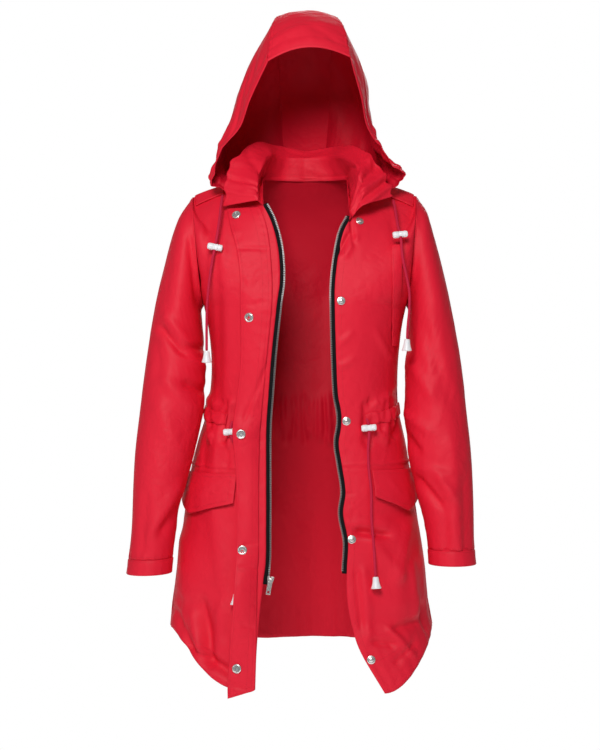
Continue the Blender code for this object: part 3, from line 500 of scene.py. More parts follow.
def mesh_piece(name, points, faces, finish, node, body=COAT, uv=None, smooth=True):
    """A mesh from millimetre points that rides on a body and stands for a CAD node."""
    mesh = bpy.data.meshes.new(name)
    faces = faces.tolist() if isinstance(faces, np.ndarray) else faces
    mesh.from_pydata((np.asarray(points, float) * MM).tolist(), [], faces)
    if uv is not None:
        layer = mesh.uv_layers.new(name="UVMap")
        index = np.zeros(len(mesh.loops), np.int32)
        mesh.loops.foreach_get("vertex_index", index)
        layer.data.foreach_set("uv", uv[index].astype(np.float32).ravel())
    if smooth:
        mesh.shade_smooth()
    mesh.materials.append(finish)
    made = bpy.data.objects.new(name, mesh)
    bpy.context.scene.collection.objects.link(made)
    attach(made, body)
    if node:
        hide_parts(node)
    return made


def quads(rows, columns, ring=False):
    """The quads between the points of a grid; a ring also joins its last column to its first."""
    j, i = np.meshgrid(np.arange(rows - 1), np.arange(columns if ring else columns - 1), indexing="ij")
    k = (i + 1) % columns
    j = j * columns
    return np.stack([j + i, j + k, j + columns + k, j + columns + i], -1).reshape(-1, 4)


def tube(line, radius, sides):
    """Points round a line, drawn in a little at its two ends, and the UV of each."""
    run = unit(np.gradient(line, axis=0))
    side = unit(np.cross(run, (0.0, 1.0, 0.0)))
    up = np.cross(run, side)
    angle = np.arange(sides) * 2 * math.pi / sides
    ring = side[:, None] * np.cos(angle)[None, :, None] + up[:, None] * np.sin(angle)[None, :, None]
    shrink = np.ones(len(line))
    shrink[[0, -1]] = DRAWN_IN
    points = line[:, None] + ring * (radius * shrink)[:, None, None]
    walked = walked_along(line)[:, None] * MM
    uv = np.stack(np.broadcast_arrays(np.arange(sides)[None, :] / sides, walked), -1)
    return points, uv.reshape(-1, 2)


def capped(rows, columns):
    """The quads of a ring grid and one polygon over each open end."""
    first, last = range(columns), range((rows - 1) * columns, rows * columns)
    return [*quads(rows, columns, ring=True).tolist(), list(first)[::-1], list(last)]


def turned(name, profile, sides, place, axis, finish, node, body=COAT):
    """A solid turned from (radius, height) rows, standing on place along axis."""
    way = np.array(Vector(axis).normalized().to_track_quat("Z", "Y").to_matrix())
    profile = np.array(profile, float)
    radius, height = profile[:, :1], profile[:, 1:]
    angle = np.arange(sides) * 2 * math.pi / sides
    local = np.stack(np.broadcast_arrays(radius * np.cos(angle), radius * np.sin(angle), height), -1)
    points = local.reshape(-1, 3) @ way.T + np.asarray(place, float)
    made = mesh_piece(name, points, capped(len(profile), sides), finish, node, body)
    made.data.set_sharp_from_angle(angle=SHARP)
    return made


def bored(target, tool):
    """Cuts a tool out of a piece and hides the tool."""
    tool.hide_render = tool.hide_viewport = True
    hole = target.modifiers.new("bore", "BOOLEAN")
    hole.operation, hole.object, hole.solver = "DIFFERENCE", tool, "EXACT"


routes = dict(CORDS)
for name, (side, rows, lock_z, lock_axis) in WAIST_CORDS.items():
    x, z, lift = np.array(rows, float).T
    routes[name] = (on_front(side, x, z, lift), lock_z, lock_axis)
for name, (route, lock_z, lock_axis) in routes.items():
    line = path_through(route, CORD_STEP)
    points, uv = tube(line, CORD_RADIUS, CORD_SIDES)
    made = mesh_piece(
        f"braided_cord_{name}", points.reshape(-1, 3), capped(*points.shape[:2]), CORD_RED, f"cord_{name}",
        uv=uv)

    down = unit(line[-1] - line[-2])
    bell = turned(
        f"bell_end_{name}", BELL, PLASTIC_SIDES, line[-1] + down * INTO_BELL, down, WHITE, f"bell_{name}")

    near = int(np.argmin(np.abs(line[:, 2] - lock_z)))
    way = unit(line[near + BESIDE_LOCK] - line[near - BESIDE_LOCK])
    axis = np.array(lock_axis) - way * np.dot(lock_axis, way)
    lock = turned(
        f"cord_lock_{name}", LOCK, PLASTIC_SIDES, line[near], axis, WHITE, f"lock_{name}")
    profile = ((LOCK_BORE, -BORE_HALF), (LOCK_BORE, BORE_HALF))
    bored(lock, turned(f"lock_bore_{name}", profile, 24, line[near], way, WHITE, None))

    (line[0] * MM).tolist()
    (line * MM).tolist()


# ---- Fronts and back. Thin coated polyester, cut as two fronts and a back and sewn at the shoulders and
# sides. The folds, the creases and the waist's gathers are bells across short lines, seen from the front
# or from behind; the hem and the zip edges pucker along their stitching.
TWILL_PITCH, TWILL_HEIGHT = 0.0011, 0.000012
COARSE_CRINKLE, FINE_CRINKLE = 0.0100, 0.0034
MIDDLE_NOISE, PATCH_FROM = 0.5, 0.36


def cloth_height(place, uv):
    """Fine twill along the UV map, under crinkles that are sharp where a noise passes its middle value."""
    weave = (uv.axis("X") + uv.axis("Y")) * (2 * math.pi / TWILL_PITCH)
    twill = weave.calc("SINE", weave) * TWILL_HEIGHT
    broad, fine = place.noise(15.0) - MIDDLE_NOISE, place.noise(42.0, 2.0) - MIDDLE_NOISE
    patch = place.noise(8.0, 1.0) - PATCH_FROM
    sharp = broad.calc("ABSOLUTE", broad) * COARSE_CRINKLE + fine.calc("ABSOLUTE", fine) * FINE_CRINKLE
    return twill + sharp * patch.calc("MAXIMUM", patch, 0.0) * 2.4


RED = finish_with("raincoat_cloth", (0.80, 0.011, 0.036), 0.56, gloss=0.24, tint=0.10, build=cloth_height)
# The inside's finish is partly the coated reverse side's own darker red and partly painted shade. It is
# darkened further to stand in for the shadow that the wearer's body would cast inside the coat.
INSIDE_PAINTED_SHADE = finish_with(
    "raincoat_cloth_inside", (0.60, 0.004, 0.022), 0.62, gloss=0.18, tint=0.10, build=cloth_height)
THREAD = finish_with("thread", (0.56, 0.012, 0.03), 0.6, gloss=0.3)
CLOTH_WALL = 0.9
STITCH, PITCH, THREAD_RADIUS = 2.3, 3.3, 0.32
GOLDEN = 0.618034           # spreads the gathers' sizes evenly


def gathers(x_from, x_to, z_from, z_to, count, reach, height, start=0.31):
    """Short upright bells along a drawcord casing, unevenly spaced, long and high."""
    rows = []
    for k in range(count):
        share = (k + 0.5 + 0.6 * math.sin(9.1 * (k + start))) / count
        odd = (k * GOLDEN + start) % 1.0
        x = x_from + (x_to - x_from) * share
        z = z_from + (z_to - z_from) * share
        above, below = z + reach * (0.35 + 0.5 * odd), z - reach * (0.5 + 0.9 * odd)
        rise = height * (0.5 + 0.6 * odd) * (1 if k % 2 else -1)
        rows.append((x, above, x + 5 * math.sin(5.0 * k), below, 3.6 + 2.2 * odd, rise))
    return tuple(rows)


# Creases as they show from the front: x0, z0, x1, z1, half width, height
FRONT_CREASES = {
    RIGHT: (
        (-128, -175, -130, -330, 9, 2.3), (-146, -130, -144, -340, 8, -2.3),
        (-168, -412, -168, -462, 6, -3.2), (-128, -420, -129, -465, 5, -2.3),
        (-148, -415, -150, -470, 8, 2.9), (-171, -693, -156, -775, 9, -8.7),
        (-156, -778, -128, -796, 8, -10.2), (-140, -700, -143, -765, 11, 6.5),
        (-217, -712, -190, -760, 7, -7.2), (-190, -762, -158, -786, 7, -5.8),
        (-186, -715, -176, -760, 8, 6.5), (-205, -600, -198, -700, 12, 4.3),
        (-118, -560, -124, -650, 12, -2.9), (-150, -550, -140, -640, 15, 3.5),
        (-160, -60, -168, -150, 9, -4.3), (-132, -60, -136, -118, 8, 3.6),
        (-150, -30, -170, -75, 10, 2.9), (-118, -467, -204, -464, 2.4, 1.5),
        (-118, -470.5, -204, -467.5, 2.2, -1.1),
    ) + gathers(-116.0, -165.0, -389.0, -380.0, 10, 30.0, 5.6),
    LEFT: (
        (77, -62, 80, -96, 4, -4.3), (56, -112, 71, -84, 3.6, -4.1), (68, -116, 82, -92, 5, 3.2),
        (93, -197, 142, -199, 2.6, -1.4), (120, -250, 141, -286, 6, 2.9), (60, -262, 72, -250, 5, 2.6),
        (60, -300, 74, -292, 6, 2.6), (62, -509, 77, -509, 1.6, -2), (92, -571, 132, -577, 6, -10.2),
        (90, -556, 128, -556, 9, 4.3), (112, -588, 148, -640, 10, 5.1), (170, -570, 152, -640, 11, 4.3),
        (118, -749, 138, -752, 7, -7.2), (155, -728, 182, -722, 7, -7.2), (139, -731, 172, -768, 5, 5.8),
        (150, -780, 176, -758, 5, -5.1), (96, -640, 104, -740, 8, 3.6), (84, -640, 92, -720, 5, -3.6),
        (176, -640, 184, -710, 9, 5.1), (196, -700, 206, -735, 6, -5.8), (148, -60, 160, -120, 9, -3.6),
        (62, -462, 176, -460, 2.4, 1.5), (62, -465.5, 176, -463.5, 2.2, -1.1),
    ) + gathers(98.0, 158.0, -388.0, -372.0, 12, 34.0, 5.6, 0.57),
}
# Creases of the back as they show from behind: the same columns
BACK_CREASES = (
    (-150, -110, -120, -200, 12, 4.2), (150, -110, 118, -205, 12, 4.2), (-60, -60, -30, -150, 15, 2.8),
    (70, -70, 40, -170, 15, 2.8), (-130, -330, -70, -352, 8, 4.2), (130, -322, 66, -350, 8, 4.2),
    (-110, -300, -60, -318, 9, -3.5), (112, -295, 62, -318, 9, -3.5), (-100, -600, -106, -775, 14, 4.2),
    (60, -560, 66, -770, 16, 4.9), (150, -560, 172, -740, 14, 5.6), (-185, -560, -196, -730, 14, 4.2),
) + gathers(-155.0, 150.0, -386.0, -382.0, 38, 34.0, 4.4, 0.13)
HEM_RIPPLE, HEM_STITCHES, HEM_DEPTH = 1.1, 12.0, 15.0
LEVEL_SCALE = 235.0                             # the stitches' place and the depth count a level as this
FRONT_PUCKERS, BACK_PUCKERS = 190.0, 400.0      # the puckers' run as across goes from 0 to 1


def ripple(run):
    """An uneven wave along a seam, between -1 and 1, from the run along it in millimetres."""
    return (np.sin(run / 3.1) + 0.8 * np.sin(run / 4.7 + 1.3) + 0.6 * np.sin(run / 7.9 + 0.4)) / 2.4


def hump(x, half, middle=0.0):
    """A bell of height 1 about its middle."""
    return np.exp(-(((x - middle) / half) ** 2))


def run_of(points, axis):
    """The run along one axis of a grid of points, in metres."""
    step = np.linalg.norm(np.diff(points, axis=axis), axis=2)
    zero = np.zeros_like(np.take(step, [0], axis=axis))
    return np.concatenate([zero, np.cumsum(step, axis=axis)], axis=axis) * MM


def normals(points):
    """Unit normals of a grid of points, by its rows and columns."""
    return unit(np.cross(np.gradient(points, axis=1), np.gradient(points, axis=0)))


def crumpled(points, seed, amount, flip=False):
    """Small crisp creases over a grid of points, so many millimetres high: five sets of warped waves, each
    folded sharply at its valleys and seen only in patches."""
    v, u = run_of(points, 0) / MM, run_of(points, 1) / MM
    high = np.zeros(u.shape)
    for k, length in enumerate((52.0, 39.0, 30.0, 22.0, 17.0)):
        turn = 2.4 * k + 1.7 * seed
        along, over = u * math.cos(turn) + v * math.sin(turn), v * math.cos(turn) - u * math.sin(turn)
        along = along + 9 * np.sin(over / 37 + seed + k) + 5 * np.sin(over / 16 + 2 * k + along / 29)
        patch = soft_step(0.35 + np.sin(u / 61 + 1.3 * k + seed) * np.sin(v / 79 + 2.1 * k + 0.7 * seed))
        high += patch * (0.6 - np.abs(np.sin(along / length * math.pi)) ** 0.7) * (length / 52.0) ** 0.6
    return points + normals(points) * (high * amount * (-1 if flip else 1))[..., None]


def hem_pucker(level, run):
    """How high the hem puckers along its stitches, in millimetres."""
    return HEM_RIPPLE * hump((HEM_LEVEL - level) * LEVEL_SCALE, HEM_DEPTH, HEM_STITCHES) * ripple(run)


def fine_front(side, level, across, lift=0.0):
    """A front with its creases and the puckers of its hem and zip edge."""
    hem = hem_pucker(level, across * FRONT_PUCKERS)
    edge = 0.5 * hump(across * 200.0, 6.0, 9.0) * ripple(level * 300.0 + 40 * side)
    return front(side, level, across, lift + hem + edge, FRONT_CREASES[side])


def fine_back(level, across, lift=0.0):
    """The back with its creases and the puckers of its hem."""
    return back(level, across, lift + hem_pucker(level, across * BACK_PUCKERS + 11), BACK_CREASES)


def on_grid(grid, row, column):
    """The points of a grid of values at shares of its rows and of its columns, by straight mixing."""
    a, b = row * (grid.shape[0] - 1), column * (grid.shape[1] - 1)
    j = np.clip(a.astype(int), 0, grid.shape[0] - 2)
    i = np.clip(b.astype(int), 0, grid.shape[1] - 2)
    a, b = (a - j)[:, None], (b - i)[:, None]
    near = grid[j, i] * (1 - a) + grid[j + 1, i] * a
    far = grid[j, i + 1] * (1 - a) + grid[j + 1, i + 1] * a
    return near * (1 - b) + far * b


# the faces of a stitch: a spindle with four points round its middle
SPINDLE = np.array([(0, 1, 2), (0, 2, 3), (0, 3, 4), (0, 4, 1), (5, 2, 1), (5, 3, 2), (5, 4, 3), (5, 1, 4)])


def stitches(name, lines, flip=False):
    """Rows of stitches: each line is a grid of points and two lists, the shares of its rows and of its
    columns that the row of stitches runs through. A stitch is a spindle that lies half in the cloth."""
    points = []
    for grid, rows, columns in lines:
        t = np.linspace(0, 1, 1500)
        stops = np.linspace(0, 1, len(rows))
        row, column = np.interp(t, stops, rows), np.interp(t, stops, columns)
        line, up = on_grid(grid, row, column), on_grid(normals(grid), row, column) * (-1 if flip else 1)
        walked = walked_along(line)
        start = np.arange(PITCH * 0.4, walked[-1] - STITCH, PITCH)
        a, b = points_at(line, walked, start), points_at(line, walked, start + STITCH)
        n = unit(points_at(up, walked, start + STITCH / 2)) * THREAD_RADIUS
        side = np.cross(n, unit(b - a))
        middle = (a + b) / 2 + n * 0.5
        points.append(np.stack([a, middle + side, middle + n, middle - side, middle - n, b], 1))
    points = np.concatenate(points)
    faces = (SPINDLE[None] + (np.arange(len(points)) * 6)[:, None, None]).reshape(-1, 3)
    return mesh_piece(name, points.reshape(-1, 3), faces[:, ::-1], THREAD, None)


def cloth(name, points, node, flat, held, area=None, wall=CLOTH_WALL, ring=False, flip=False, finish=RED,
          inside=None, slot="raincoat_cloth"):
    """A thin piece of cloth through a grid of points, with its wall inwards and its UV in metres. flat, its
    width and length before it was sewn in, and area, its flat area where the cut isn't a rectangle, are not
    used."""
    rows, columns = points.shape[:2]
    faces = quads(rows, columns, ring)
    if flip:
        faces = faces[:, ::-1]
    uv = np.stack([run_of(points, 1), run_of(points, 0)], -1).reshape(-1, 2)
    made = mesh_piece(name, points.reshape(-1, 3), faces, finish, node, uv=uv)
    # the inner wall takes the inside finish, whose extra darkness is painted shade
    if inside:
        made.data.materials.append(inside)
    solid = made.modifiers.new("wall", "SOLIDIFY")
    solid.material_offset = len(made.data.materials) - 1
    solid.thickness = wall * MM
    solid.offset = -1.0
    return made


# the rows of the body's panels, with so many from each level to the next
BODY_ROWS = np.concatenate([
    np.linspace(k, k + 1, rows, endpoint=False) for k, rows in enumerate((35, 33, 63, 149))] + [[HEM_LEVEL]])
FRONT_COLUMNS = np.linspace(0, 1.0, 62)


def body_crumple(level, across):
    """How high the small creases are, in millimetres: most at the waist and the hem, none at the edges."""
    waist, hem, arm = hump(level, 0.22, 3.0), hump(level, 0.2, 3.85), hump(level, 0.4, 1.8) * across**2
    high = 0.35 + 0.35 * waist + 0.5 * hem + 0.5 * arm
    return high * soft_step(across * 9) * soft_step((1.0 - across) * 12)


def with_neck_edge(points, flip=False):
    """Adds the seam allowance of the neckline: two rows that stand up under the collar."""
    inwards = normals(points)[:1] * (1 if flip else -1)
    edge = [points[:1] + inwards * 0.5 + (0, 0, 5.0), points[:1] + inwards * 0.4 + (0, 0, 2.0)]
    return np.concatenate([*edge, points])


# flat width and length, how it is held, flat area
FRONT_CUT = {RIGHT: ((0.275, 0.93), "hung", 0.158), LEFT: ((0.245, 0.93), "hung", 0.153)}
SIDES = ((RIGHT, "right"), (LEFT, "left"))
ALLOWANCE = (2.2, 4.5, 0.0)     # how far the fronts turn in behind the back at the side seams
for side, word in SIDES:
    flip = side == LEFT
    level, across = BODY_ROWS[:, None], FRONT_COLUMNS[None, :]
    panel = crumpled(fine_front(side, level, across), 1.0 + side, body_crumple(level, across), flip)
    turned_in = soft_step((level - 2.0) * 8)[..., None] * ALLOWANCE * (-side, 1, 1)
    sewn = np.concatenate([panel, panel[:, -1:] + turned_in * 0.5, panel[:, -1:] + turned_in], axis=1)
    cloth(
        f"front_panel_{word}", with_neck_edge(sewn, flip), f"front_{word}", *FRONT_CUT[side], flip=flip,
        inside=INSIDE_PAINTED_SHADE)
    # hem, side seam and shoulder; the left front has one more row beside its zip edge
    lines = [(panel, (0.965, 0.965), (0.02, 1.0)), (panel, (0.015, 0.99), (0.965, 0.985))]
    lines.append((panel, (0.0, 0.14), (0.14, 0.14)))
    if side == LEFT:
        lines.append((panel, (0.02, 0.99), (0.055, 0.055)))
    stitches(f"stitches_front_{word}", lines, flip)
level, across = BODY_ROWS[::2, None], np.linspace(-1.0, 1.0, 240)[None, :]
panel = crumpled(fine_back(level, across), 5.0, body_crumple(level, np.abs(across)))
cloth("back_panel", with_neck_edge(panel), "back", (0.62, 0.93), "hung", 0.38, inside=INSIDE_PAINTED_SHADE)
stitches("stitches_back", [
    (panel, (0.965, 0.965), (0.0, 1.0)), (panel, (0.01, 0.12), (0.992, 0.992)),
    (panel, (0.01, 0.12), (0.008, 0.008))])


# ---- Sleeves and cuffs. Each sleeve is a tube from the armhole to a sewn-on band at the wrist; it is
# creased inside the elbow and twisted a little above the band.
# Creases as they show from the front, then from behind: x0, z0, x1, z1, half width, height
SLEEVE_CREASES = {
    RIGHT: (
        (
            (-188, -95, -176, -190, 9, -6.3), (-203, -60, -214, -200, 16, 4.2),
            (-237, -240, -200, -280, 7, -7), (-227, -222, -193, -262, 9, 4.9),
            (-190, -268, -166, -271, 6, -5.6), (-196, -286, -170, -300, 8, 4.9),
            (-190, -331, -166, -342, 8, -8.4), (-249, -260, -243, -306, 8, -2.8),
            (-225, -330, -190, -365, 12, 4.9), (-240, -370, -214, -430, 14, 3.5),
            (-201, -522, -232, -566, 8, -6.3), (-212, -505, -250, -570, 10, 4.9),
            (-262, -520, -268, -600, 8, -3.5),
        ),
        (
            (-236, -300, -190, -330, 9, -5.6), (-232, -280, -190, -305, 9, 4.9),
            (-246, -345, -196, -372, 10, 4.9), (-206, -70, -214, -220, 15, -4.2),
            (-260, -480, -230, -560, 12, 4.2),
        ),
    ),
    LEFT: (
        (
            (164, -190, 172, -268, 8, -5.6), (199, -49, 219, -190, 15, 4.2),
            (199, -240, 238, -350, 12, -3.5), (180, -300, 205, -345, 9, 4.2),
            (166, -414, 182, -436, 7, -7.7), (170, -380, 196, -402, 9, 4.9),
            (188, -490, 218, -524, 7, -8.4), (224, -488, 238, -510, 8, 7.7),
            (200, -470, 232, -478, 8, 4.2), (243, -431, 247, -580, 12, 4.2),
            (228, -540, 232, -598, 8, -3.5), (262, -500, 264, -596, 8, -2.8),
        ),
        (
            (236, -300, 190, -330, 9, -5.6), (232, -278, 190, -305, 9, 4.9),
            (246, -345, 196, -374, 10, 4.9), (206, -70, 214, -220, 15, -4.2),
            (256, -480, 224, -560, 12, 4.2),
        ),
    ),
}


def sleeve_base(side, share, around):
    """The sleeve's ellipse at a share of its length; around is 0 outside and grows towards the front."""
    row = np.moveaxis(curve_through(SLEEVE[side], share), -1, 0)
    c, s = np.cos(around), np.sin(around)
    return np.stack([
        (row[0] + row[2]) / 2 + (row[0] - row[2]) / 2 * c,
        row[4] - row[5] * s,
        (row[1] + row[3]) / 2 + (row[1] - row[3]) / 2 * c,
    ], axis=-1)


def fine_sleeve(side, share, around):
    """The sleeve with its creases, each on the side that it is listed for."""
    point = sleeve_base(side, share, around)
    n = unit(np.cross(
        sleeve_base(side, share, around + NUDGE) - sleeve_base(side, share, around - NUDGE),
        sleeve_base(side, share + NUDGE, around) - sleeve_base(side, share - NUDGE, around),
    ) * side)
    fore = soft_step(0.5 - 1.2 * n[..., 1])
    before, behind = (fold_height(point, creases) for creases in SLEEVE_CREASES[side])
    high = (before * fore + behind * (1 - fore)) * soft_step(share * 12)
    high += 1.2 * hump((1 - share) * SLEEVE_RUN, 14.0) * ripple(around * 48.0 + side)
    high += 0.8 * hump(share * SLEEVE_RUN, 7.0, 9.0) * ripple(around * 62.0 - side)
    return point + n * high[..., None]


def closed(rings):
    """A ring grid whose first column comes again at its end."""
    return np.concatenate([rings, rings[:, :1]], axis=1)


SLEEVE_ROWS, SLEEVE_SIDES = np.linspace(0, 1, 190)[:, None], 96
SLEEVE_RUN = 600.0          # about how long the sleeve is
AROUND = np.arange(SLEEVE_SIDES) * 2 * math.pi / SLEEVE_SIDES
# the cuff band's run down, swell outwards and share of its wave: it starts inside the sleeve and turns in
CUFF = np.array((
    (-5.0, -2.4, 0), (0.2, -1.0, 0), (0.9, 0.5, 0.5), (2.0, 1.1, 1), (6.0, 1.5, 0.7), (13.0, 1.4, 0.3),
    (20.0, 1.5, 0.8), (24.0, 1.6, 1), (25.6, 1.2, 0.6), (26.0, 0.2, 0.3)))[:, :, None, None]
for side, word in SIDES:
    flip = side == RIGHT
    rings = fine_sleeve(side, SLEEVE_ROWS, AROUND[None, :])
    rings[..., 0] += side * (0.9 * np.exp(-SLEEVE_ROWS / 0.012))    # its head stands off the armhole
    amount = 0.4 + 0.45 * hump(SLEEVE_ROWS, 0.15, 0.45) + 0.4 * hump(SLEEVE_ROWS, 0.1, 0.9)
    amount = amount * soft_step(SLEEVE_ROWS * 20) * soft_step((1 - SLEEVE_ROWS) * 20)
    column = np.arange(SLEEVE_SIDES + 1)
    blend = soft_step(np.minimum(column, SLEEVE_SIDES - column) / 6.0)
    rings = crumpled(closed(rings), 9.0 + side, amount * blend[None, :], flip)[:, :-1]
    cloth(
        f"sleeve_tube_{word}", rings, f"sleeve_{word}", (0.40, 0.62), "hung", 0.175, ring=True, flip=flip,
        inside=INSIDE_PAINTED_SHADE)
    lines = [(closed(rings), (share, share), (0, 1)) for share in (0.014, 0.993)]
    stitches(f"stitches_sleeve_{word}", lines, flip)

    last, before = sleeve_base(side, 1.0, AROUND), sleeve_base(side, 0.98, AROUND)
    middle = last.mean(axis=0)
    down, out = unit(middle - before.mean(axis=0)), unit(last - middle)
    wave = 0.45 * ripple(AROUND * 55.0)[:, None]
    band = last + down * CUFF[:, 0] + out * (CUFF[:, 1] + wave * CUFF[:, 2])
    cloth(
        f"cuff_band_{word}", band, f"cuff_{word}", (0.27, 0.027), "folded", wall=1.6, ring=True, flip=flip)
    lines = [(closed(band), (share, share), (0, 1)) for share in (0.36, 0.82)]
    stitches(f"stitches_cuff_{word}", lines, flip)


# ---- Hood. Two side panels and a centre panel, sewn along the crown; a channel round the face, closed by
# a row of stitches, takes the upper drawcord. It stands up over the head and is sewn on inside the collar.
# Hood side panels: each row is a station and a rib, x, y, z of seven points from the neck seam up to the
# top seam; the first is at the face and the last at the nape
HOOD_SIDE = {
    RIGHT: (
        (0, -88, -58, -6, -136, -42, -5, -157, -48, 12, -138, -62, 62,
         -108, -72, 97, -91, -88, 140, -62, -100, 200),
        (0.25, -88, -20, 14, -140, -14, 16, -151, -12, 34, -139, -20, 75,
         -121, -28, 128, -98, -40, 192, -56, -50, 267),
        (0.5, -82, 22, 25, -116, 40, 21, -130, 45, 42, -131, 45, 92,
         -115, 42, 146, -92, 36, 215, -46, 38, 298),
        (0.75, -54, 60, 27, -86, 86, 20, -101, 101, 45, -105, 112, 86,
         -97, 121, 130, -78, 124, 182, -45, 116, 240),
        (0.9, -38, 71, 28, -53, 86, 31, -63, 102, 50, -65, 114, 72,
         -59, 124, 94, -51, 131, 120, -42, 133, 150),
        (1, -31, 73, 27, -31.3, 74, 28, -31.5, 75, 29, -31.7, 76, 30,
         -31.6, 77, 31, -31.4, 78, 32, -31, 79.5, 33.5),
    ),
    LEFT: (
        (0, 92, -60, -8, 148, -42, -1, 165, -47, 20, 136, -58, 51,
         104, -70, 96, 93, -88, 142, 74, -100, 207),
        (0.25, 88, -20, 14, 141, -12, 18, 146, -12, 36, 119, -20, 76,
         108, -28, 130, 97, -40, 196, 64, -50, 269),
        (0.5, 82, 22, 25, 112, 40, 23, 122, 45, 42, 120, 45, 90,
         110, 42, 146, 92, 36, 215, 48, 38, 298),
        (0.75, 54, 60, 27, 86, 86, 20, 99, 101, 45, 103, 112, 86,
         96, 121, 130, 78, 124, 182, 45, 116, 240),
        (0.9, 38, 71, 28, 53, 86, 31, 63, 102, 50, 65, 114, 72,
         59, 124, 94, 51, 131, 120, 42, 133, 150),
        (1, 31, 73, 27, 31.3, 74, 28, 31.5, 75, 29, 31.7, 76, 30,
         31.6, 77, 31, 31.4, 78, 32, 31, 79.5, 33.5),
    ),
}
# The middle of the hood's centre panel at the same stations
HOOD_CENTRE = (
    (0, 5, -106, 223), (0.12, 3, -86, 255), (0.25, 2, -50, 285), (0.5, 0, 30, 306), (0.75, 0, 124, 246),
    (0.9, 0, 142, 152), (1, 0, 81, 31),
)
CHANNEL = 0.075     # share of a side panel's run from face to nape that the channel takes
# Creases of the side panels, by the run back from the face and the run up from the neck seam: x0, z0,
# x1, z1, half width, height
HOOD_CREASES = {
    RIGHT: (
        (30, 60, 60, 160, 14, 5.2), (95, 40, 110, 150, 17, -4.5), (20, 175, 60, 245, 9, -3.8),
        (150, 60, 165, 170, 17, 4.5), (215, 40, 205, 150, 15, -3.8), (120, 215, 175, 262, 12, 3),
        (60, 20, 130, 30, 9, -3.8), (40, 262, 100, 284, 8, -2.4), (0, 84, 40, 92, 5, 4),
        (0, 62, 60, 58, 8, -4), (0, 112, 70, 128, 8, -4), (10, 150, 60, 150, 6, 2.6),
    ),
    LEFT: (
        (26, 70, 52, 165, 13, 4.5), (90, 50, 100, 160, 18, -5.2), (24, 190, 66, 250, 9, -3.8),
        (145, 50, 170, 160, 18, 5.2), (210, 60, 222, 150, 14, -4.5), (110, 225, 160, 256, 13, 3),
        (60, 22, 140, 34, 9, -3.8), (30, 120, 44, 175, 7, -3), (0, 100, 46, 108, 5, 4.6),
        (0, 74, 60, 66, 8, -4), (0, 130, 80, 144, 8, -4.6), (6, 168, 60, 176, 6, 3),
    ),
}
HOOD_RUN, HOOD_RISE = 290.0, 300.0          # a side panel, back from the face and up from the neck
CROWN_RUN, CROWN_HALF = 480.0, 50.0         # the centre panel, back from the face and out from its middle
CROWN_CREASES = (
    (-30, 60, 20, 90, 14, 2.0), (10, 150, -20, 220, 16, -1.6), (-15, 300, 25, 380, 18, 2.2),
    (30, 40, 10, 70, 9, -1.4))


def hood_side(side, station, along):
    """A hood side: station runs from the face to the nape, along from the neck seam to the top seam."""
    rib = curve_through(HOOD_SIDE[side], station).reshape(len(station), -1, 3)
    stops = np.linspace(0, 1, rib.shape[1])
    return np.array([curve_through(np.column_stack([stops, one]), along) for one in rib])


def channel_height(station, run):
    """The drawcord channel round the face: a low roll with a pucker at its stitches, in millimetres."""
    roll = 1.6 * np.sin(np.clip(station / CHANNEL, 0, 1) * math.pi) ** 0.7
    return roll + 0.9 * ripple(run) * hump(station, 0.03, CHANNEL)


HOOD_STATIONS = np.concatenate([np.linspace(0, 0.16, 26)[:-1], np.linspace(0.16, 1, 76)])
HOOD_ALONG = np.linspace(0, 1, 110)
TUCK_TO = (62.0, 12.0, 14.0)    # the neck seam's allowance leans this way, inside the collar
for side, word in SIDES:
    panel = hood_side(side, HOOD_STATIONS, HOOD_ALONG)
    u, v = np.meshgrid(HOOD_STATIONS, HOOD_ALONG, indexing="ij")
    place = np.stack([u * HOOD_RUN, 0 * u, v * HOOD_RISE], -1)
    high = fold_height(place, HOOD_CREASES[side])
    high = high * soft_step(v * 6) * soft_step((1 - v) * 8) * soft_step((1 - u) * 5)
    high += channel_height(u, v * 310.0 + side * 7)
    high += 0.9 * ripple(u * HOOD_RUN + 5 * side) * hump((1 - v) * HOOD_RISE, 9)
    panel = panel + normals(panel) * (-side * high)[..., None]
    amount = (0.5 + 0.7 * hump(v, 0.2, 0.15)) * soft_step(v * 8) * soft_step((1 - v) * 10)
    panel = crumpled(panel, 3.0 + 4 * side, amount * soft_step((u - CHANNEL) * 12), side == LEFT)
    tuck = panel[:, :1] + normals(panel)[:, :1] * side * 1.5
    tuck = tuck + (np.array(TUCK_TO) * (side, 1, 1) - tuck) * np.array([0.22, 0.10])[None, :, None]
    cloth(
        f"hood_side_panel_{word}", np.concatenate([tuck, panel], axis=1), f"hood_side_{word}", (0.30, 0.36),
        "draped", 0.078, flip=side == LEFT, inside=INSIDE_PAINTED_SHADE)
    # the channel, the top seam and the face edge
    stitches(f"stitches_hood_{word}", [
        (panel, (0.25, 0.25), (0.01, 1)), (panel, (0.02, 0.99), (0.985, 0.985)),
        (panel, (0.025, 0.025), (0.01, 1))], side == LEFT)

seam_right, seam_left = (hood_side(side, HOOD_STATIONS, np.array([1.0])) for side in (RIGHT, LEFT))
crown = curve_through(HOOD_CENTRE, HOOD_STATIONS)[:, None]
half = np.linalg.norm(seam_left - seam_right, axis=2) / 2
w = np.linspace(-1, 1, 56)[None, :] * (1 + 0.4 / half)
r = w[..., None]
panel = seam_right * (r * r - r) / 2 + crown * (1 - r * r) + seam_left * (r * r + r) / 2
u = HOOD_STATIONS[:, None]
high = channel_height(u, w * 55) + ripple(u * CROWN_RUN) * hump((1 - np.abs(w)) * CROWN_HALF, 8)
place = np.stack([w * CROWN_HALF, 0 * w, u * CROWN_RUN + 0 * w], -1)
high += fold_height(place, CROWN_CREASES)
panel = panel + normals(panel) * high[..., None]
edge = soft_step((1 - np.abs(w)) * 6) * soft_step((u - CHANNEL) * 12)
panel = crumpled(panel, 12.0, 0.5 * edge)
